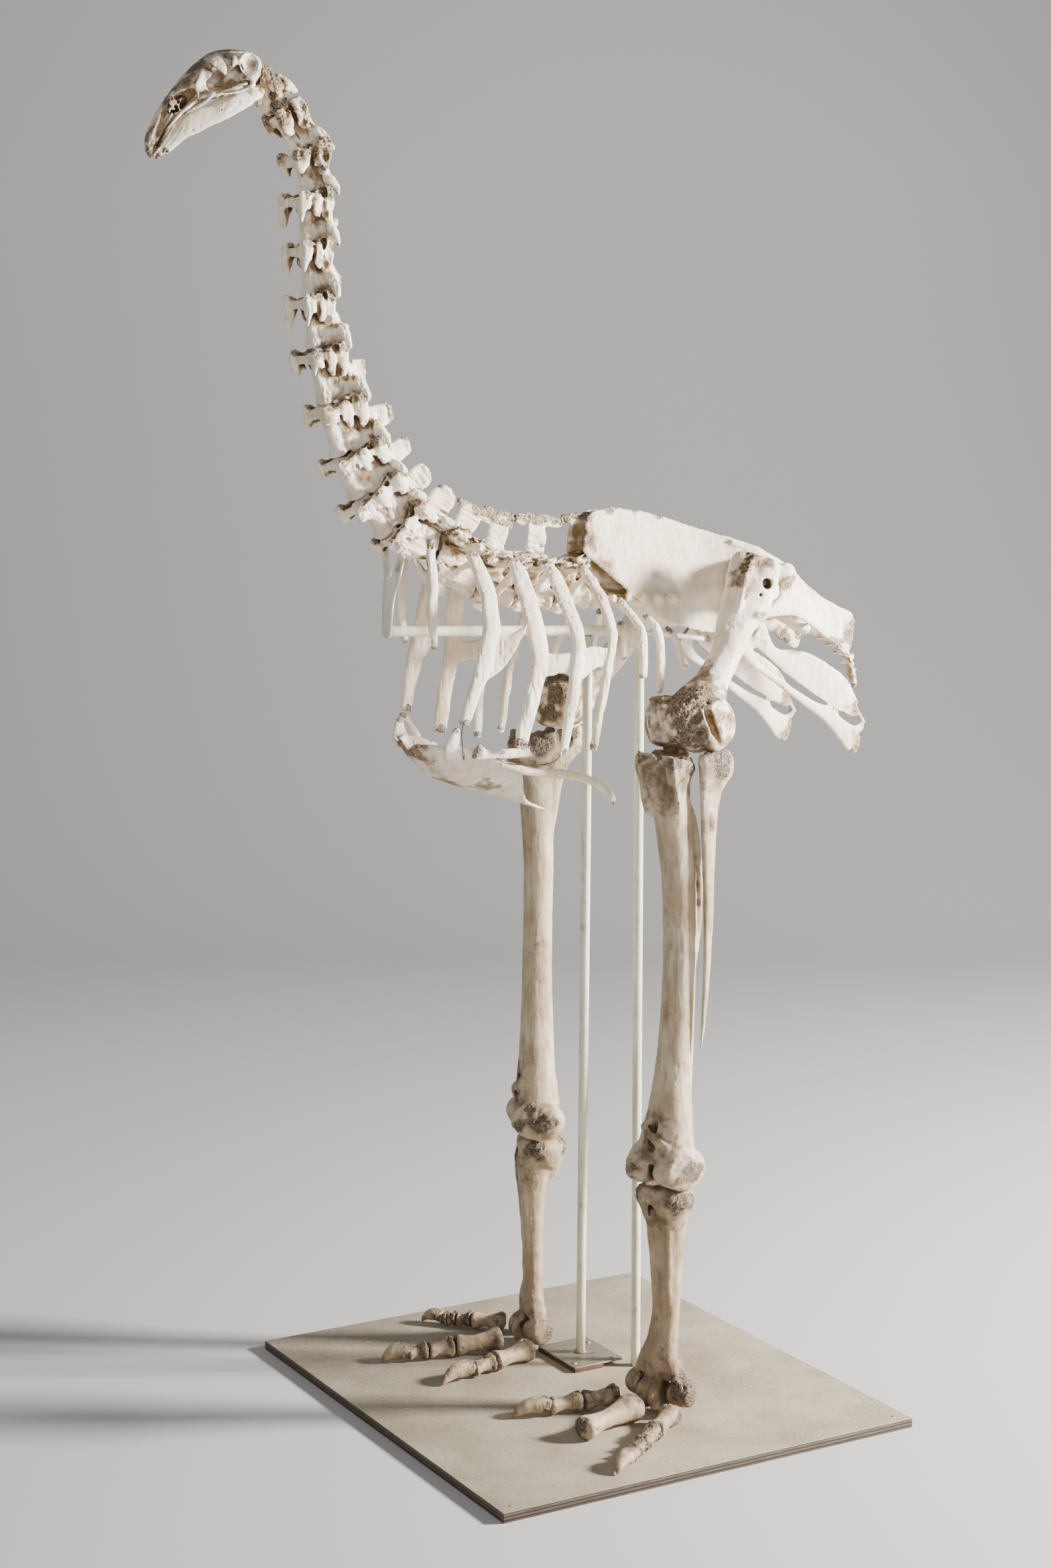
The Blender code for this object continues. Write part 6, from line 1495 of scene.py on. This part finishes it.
def makeTibiotarsus(side):
    place = legPlace(side)
    shaft = tube([(-6, -4, 1032, 30, 22), (-6, -4, 1030, 45, 36), (-2, -4, 1018, 47, 41), (0, -3, 1002, 41, 39),
        (-3, -2, 980, 33, 33), (-7, 0, 930, 28, 27), (-13, 0, 810, 26, 24), (-11, 0, 650, 26, 24),
        (-8, 0, 520, 31, 28), (-6, 0, 455, 42, 33), (-5, 0, 425, 48, 37), (-4, 0, 408, 46, 36)], 40, 6, p=2.2)
    crest = blade([(22, -10, 938, 10, -10, 948, 7), (40, -13, 950, 12, -10, 956, 9), (46, -14, 980, 14, -10, 988, 10),
        (46, -15, 1008, 16, -10, 1018, 11), (46, -16, 1028, 16, -10, 1026, 11), (42, -16, 1046, 16, -10, 1030, 8)],
        26, 5, 2.8)
    sideCrest = blade([(8, 30, 950, 2, 8, 958, 6), (16, 36, 962, 2, 10, 970, 9), (24, 40, 996, 4, 10, 1000, 12),
        (27, 41, 1022, 4, 10, 1020, 12), (25, 40, 1038, 4, 10, 1030, 8)], 24, 5, 2.8)
    line = tube([(-18, 16, 975, 2, 2), (-27, 21, 950, 4, 5), (-33, 24, 900, 4, 5), (-36, 24, 820, 3, 4),
        (-33, 20, 740, 2, 3), (-26, 16, 690, 1, 1)], 14, 5)
    inner = [(5, -56, 402, 17, 12), (4, -53, 402, 30, 22), (2, -46, 402, 43, 31), (0, -32, 403, 44, 32),
        (-2, -16, 404, 40, 30), (-4, -7, 404, 26, 20)]
    outer = [(-4, 7, 404, 26, 20), (-4, 14, 402, 41, 29), (-5, 32, 402, 44, 31), (-6, 46, 401, 42, 30),
        (-6, 53, 401, 30, 21), (-6, 56, 401, 16, 11)]
    innerBoss = knob((-8, -50, 404), (18, 9, 16))
    outerBoss = knob((-10, 50, 404), (17, 9, 15))
    valley = tube([(46, -2, 440, 12, 7), (44, -1, 416, 14, 11), (26, 0, 372, 12, 10), (-20, 0, 364, 11, 9)], 20, 5)
    bridge = tube([(22, 27, 434, 4, 9), (29, 18, 441, 3, 9), (31, 6, 449, 2.6, 8.4), (30, -8, 456, 2.6, 8.6),
        (25, -20, 462, 3.4, 10), (19, -26, 468, 4, 11)], 18, 5, lengthwise, 3)
    canal = tube([(36, -5, 490, 7, 6), (26, -4, 470, 8, 7), (23, -2, 448, 8, 8), (32, -1, 430, 9, 7)], 16, 4)
    backValley = tube([(-58, 0, 440, 20, 9), (-60, 0, 410, 20, 12), (-44, 0, 366, 18, 8)], 20, 5)
    plateau = both(knob((-6, -24, 1040), (24, 15, 7)))
    frontFlute = tube([(42, 12, 1040, 16, 16), (40, 13, 1006, 17, 18), (37, 12, 976, 14, 14), (33, 10, 952, 7, 6)],
        22, 5)
    shapes = placed([shaft, crest, sideCrest, line, tube(inner, 36, 5, lengthwise), tube(outer, 36, 5, lengthwise),
        innerBoss, outerBoss], place)
    holes = placed([valley, canal, backValley, frontFlute, *plateau], place)
    porous = [(48, -18, 1034, 16), (22, 46, 1030, 16), (12, 48, 990, 14), (20, 44, 962, 10), (-10, -44, 1024, 22),
        (-36, 0, 1024, 20), (-14, 38, 1020, 18), (0, -56, 400, 16), (-8, 56, 400, 18), (36, -34, 396, 14),
        (20, -54, 424, 12)]
    foramina = [(22, 2, 470, 3.4), (23, 8, 430, 2.6), (-8, 26, 770, 1.8), (24, -6, 560, 1.3)]
    brownSpots = [(0, 0, 1030, 52), (34, 8, 1004, 34), (34, 6, 974, 22), (22, 48, 1016, 18), (30, 0, 440, 22),
        (22, -2, 474, 16), (0, 56, 402, 24), (0, -56, 402, 22), (-30, 0, 410, 26), (20, 0, 380, 20)]
    legPiece("tibiotarsus", side, place, shapes, holes, "leg", legs["shinVoxel"], 54, porous, foramina, brownSpots,
        placed([bridge], place))


def makeFibula(side):
    place = legPlace(side)
    shape = tube([(-62, 46, 1040, 8, 20), (-62, 46, 1034, 12.5, 33), (-60, 46, 1016, 14.5, 37),
        (-54, 45, 1000, 12, 30), (-48, 44, 984, 9, 24), (-44, 43.4, 962, 7.4, 20), (-41, 43, 940, 6.6, 17.5),
        (-38, 42, 900, 6, 15), (-35, 42, 860, 5.6, 12.5), (-30, 41, 740, 4.6, 8), (-27, 39, 640, 3.6, 5),
        (-25, 38, 583, 1.8, 2.4)], 26, 5, p=2.3)
    hollow = knob((-52, 32, 1018), (20, 8, 17))
    tubercle = knob((-42, 49, 936), (8, 5, 17))
    legPiece("fibula", side, place, placed([shape, tubercle], place), placed([hollow], place), "leg",
        legs["fibulaVoxel"], 58, [(-62, 46, 1036, 26), (-62, 58, 1010, 14)], (), [(-60, 50, 1030, 30)])


def makeTarsometatarsus(side):
    place = legPlace(side)
    lean = -14 if side == "left" else 2
    shaft = tube([(-8, 0, 369, 26, 20), (-8, 0, 367, 42, 30), (-8, 0, 356, 50, 36), (-9, 0, 342, 47, 35),
        (lean * 0.7, 0, 326, 39, 31), (lean, 0, 290, 29, 22), (lean, 0, 200, 23, 16.5), (lean * 0.4, 0, 130, 27, 16),
        (4, 0, 95, 38, 18), (5, 0, 70, 47, 17)], 40, 6, p=2.3)
    heels = [blade([(-48, s, 364, -18, s, 366, 11), (-54, s, 352, -18, s, 350, 13), (-48, s, 334, -18, s, 330, 11),
        (-36, s, 300, -16, s, 294, 6)], 22, 5, 2.8) for s in (-12, 5)]
    ridges = [tube([(8, s * 1.1, 338, 2, 2), (lean + 21, s, 320, 5, 5), (lean + 16, s * 0.84, 260, 5, 5),
        (lean + 12, s * 0.74, 190, 4, 4), (lean + 11, s * 0.8, 130, 3, 3), (6, s, 100, 1.5, 1.5)], 14, 5)
        for s in (-21, 21)]
    middle = [(14, -20, 43, 16, 15), (14, -18, 43, 24, 23), (14, -12, 43, 27, 25.4), (14, -4, 43, 22, 21),
        (14, 4, 43, 22, 21), (14, 12, 43, 27, 25.4), (14, 18, 43, 24, 23), (14, 20, 43, 16, 15)]
    inner = [(-4, -58, 48, 13, 12), (-3, -54, 48, 21, 20), (0, -42, 48, 23, 22), (1, -34, 48, 21, 20),
        (2, -28, 48, 23, 21), (2, -26, 48, 16, 14)]
    outer = [(-4, 26, 49, 16, 14), (-4, 28, 49, 24, 22), (-5, 35, 49, 22, 21), (-7, 43, 49, 24, 22),
        (-10, 55, 49, 23, 20), (-12, 60, 49, 14, 13)]
    stems = [tube([(0, s * 0.62, 100, 12, 12), (shift * 0.6, s * 0.8, 76, 12, 13), (shift, s, 56, 12, 15)], 22, 4)
        for s, shift in ((-40, 0), (0, 12), (42, -5))]
    cups = [knob((-6, s, 375), (28, 19, 10)) for s in (-25, 26)]
    flute = tube([(20, 0, 346, 8, 8), (lean + 31, 0, 320, 11, 7), (lean + 23, 0, 250, 8, 4),
        (lean + 18, 0, 190, 5, 3), (lean + 17, 0, 150, 2, 1.5)], 18, 5)
    splits = [tube([(30, s, 70, 3.6, 6), (0, s, 66, 3.4, 7), (-34, s, 66, 4, 8)], 14, 4) for s in (-22, 22)]
    gap = [tube([(40, s, 42, 4, 22), (-44, s, 42, 4, 22)], 14, 2) for s in (-22, 22)]
    shapes = placed([shaft, *heels, *ridges, *stems,
        *[tube(rows, 34, 5, lengthwise) for rows in (inner, middle, outer)]], place)
    holes = placed([*cups, flute, *splits, *gap], place)
    porous = [(-52, -4, 350, 20), (10, -40, 356, 16), (14, 42, 352, 16), (-8, 50, 352, 16), (-14, -56, 48, 14),
        (-12, 57, 50, 22), (8, 50, 62, 16), (8, 18, 30, 12), (2, 40, 70, 14)]
    foramina = [(15, -7, 338, 3.6), (15, 8, 326, 3.4), (10, 24, 96, 3), (-12, 59, 50, 4)]
    brownSpots = [(-8, 0, 366, 34), (0, 56, 52, 28), (8, 0, 36, 26), (-8, -50, 50, 24), (14, 0, 330, 22),
        (0, 30, 76, 26), (-2, 52, 62, 30), (14, 8, 60, 22)]
    legPiece("tarsometatarsus", side, place, shapes, holes, "foot", legs["voxel"], 60, porous, foramina, brownSpots)


toes = {
    # base and claw tip on the board, where along the toe each bone ends, and its thickness
    "left": {2: ((-6, 139), (-175, 103), (0.34, 0.66, 1.0), 23), 3: ((-8, 196), (-128, 232), (1.0,), 26),
             4: ((28, 240), (-153, 371), (0.34, 0.53, 0.66, 0.77, 1.0), 21)},
    "right": {2: ((-22, -107), (-206, -72), (0.42, 0.66, 1.0), 23),
              3: ((-42, -166), (-240, -212), (0.40, 0.62, 0.79, 1.0), 25),
              4: ((8, -246), (-92, -356), (0.38, 0.56, 0.67, 0.77, 1.0), 21)},
    "ground": 15.3, "voxel": 0.0014, "taper": 0.38, "halfWidth": 0.86, "halfHeight": 0.8, "arch": 0.42,
    # share of the length, share of the thickness across and upright
    "bone": ((0.0, 0.55, 0.5), (0.03, 0.9, 0.86), (0.12, 1.02, 1.0), (0.3, 0.8, 0.8), (0.55, 0.66, 0.62),
             (0.75, 0.74, 0.68), (0.9, 0.88, 0.84), (0.97, 0.8, 0.76), (1.0, 0.5, 0.5)),
    "claw": ((0.0, 0.5, 0.5), (0.04, 0.86, 0.9), (0.13, 1.0, 1.02), (0.35, 0.92, 0.9), (0.6, 0.72, 0.72),
             (0.82, 0.45, 0.48), (0.95, 0.22, 0.24), (1.0, 0.08, 0.1)),
}


# toe: bones laid end to end, each a tube waisted at its middle with a pulley-like front end, and a hooked claw
def makeToe(side, number):
    base, tip, ends, thick = toes[side][number]
    base, tip = np.array(base, float), np.array(tip, float)
    reach = np.linalg.norm(tip - base)
    heading = (tip - base) / reach
    cross = np.array([-heading[1], heading[0], 0.0])
    start = 0.0
    for index, end in enumerate(ends):
        size = thick * (1 - toes["taper"] * start)
        isClaw = end == 1.0 and len(ends) > 1
        shares = np.array(toes["claw" if isClaw else "bone"])
        length = (end - start) * reach
        gap = 1.2 if index else 0.0
        u = shares[:, 0]
        flat = base + heading * (start * reach + gap + u * (length - gap - 0.6))[:, None]
        half = toes["halfHeight"] * size * shares[:, 2]
        arch = toes["arch"] * size * np.sin(np.pi * u)
        low = half + arch if isClaw else np.maximum(half, toes["halfHeight"] * size * (1 - 0.15 * u))
        rows = np.column_stack([flat, toes["ground"] + low, toes["halfWidth"] * size * shares[:, 1], half])
        shapes, holes = [tube(rows, 30, 6, cross, 2.3)], []
        if not isClaw:
            front = flat[-1] - heading * 1.0
            holes.append(tube([(*(front + heading * 5), toes["ground"] + low[-1] + size * k, 0.2 * size, 4.6)
                for k in (1.1, 0.4, -0.4, -1.1)], 16, 4, cross))
            for k in (-1, 1):
                spot = flat[-3] + cross[:2] * k * (toes["halfWidth"] * size * 0.98)
                holes.append(knob((*spot, toes["ground"] + low[-3]), (size * 0.2, size * 0.2, size * 0.2)))
        else:
            for k in (-1, 1):
                holes.append(tube([(*(flat[i] + cross[:2] * k * 0.9 * size * shares[i, 1]),
                    toes["ground"] + low[i] * 1.02, 1.5, 1.3) for i in (2, 3, 4, 5)], 10, 4))
        z = toes["ground"] + low
        porous = [(*flat[1], z[1], size * 0.8), (*flat[1], z[1] + size * 0.7, size * 0.5)]
        if not isClaw:
            porous.append((*flat[-1], z[-1] + size * 0.3, size * 0.5))
        bone(f"toe_{side}_{number}_bone_{index + 1}", shapes, looks["foot"], toes["voxel"], holes, 2, porous, (),
            [(*flat[1], z[1], size * 0.9), (*flat[-1], z[-1], size * 0.6)], 70 + number * 5 + index,
            [f"toe_{side}_{number}"] if index == 0 else [])
        start = end


for side in ("left", "right"):
    makeFemur(side)
    makeTibiotarsus(side)
    makeFibula(side)
    makeTarsometatarsus(side)
    for number in (2, 3, 4):
        makeToe(side, number)
print("legs made")
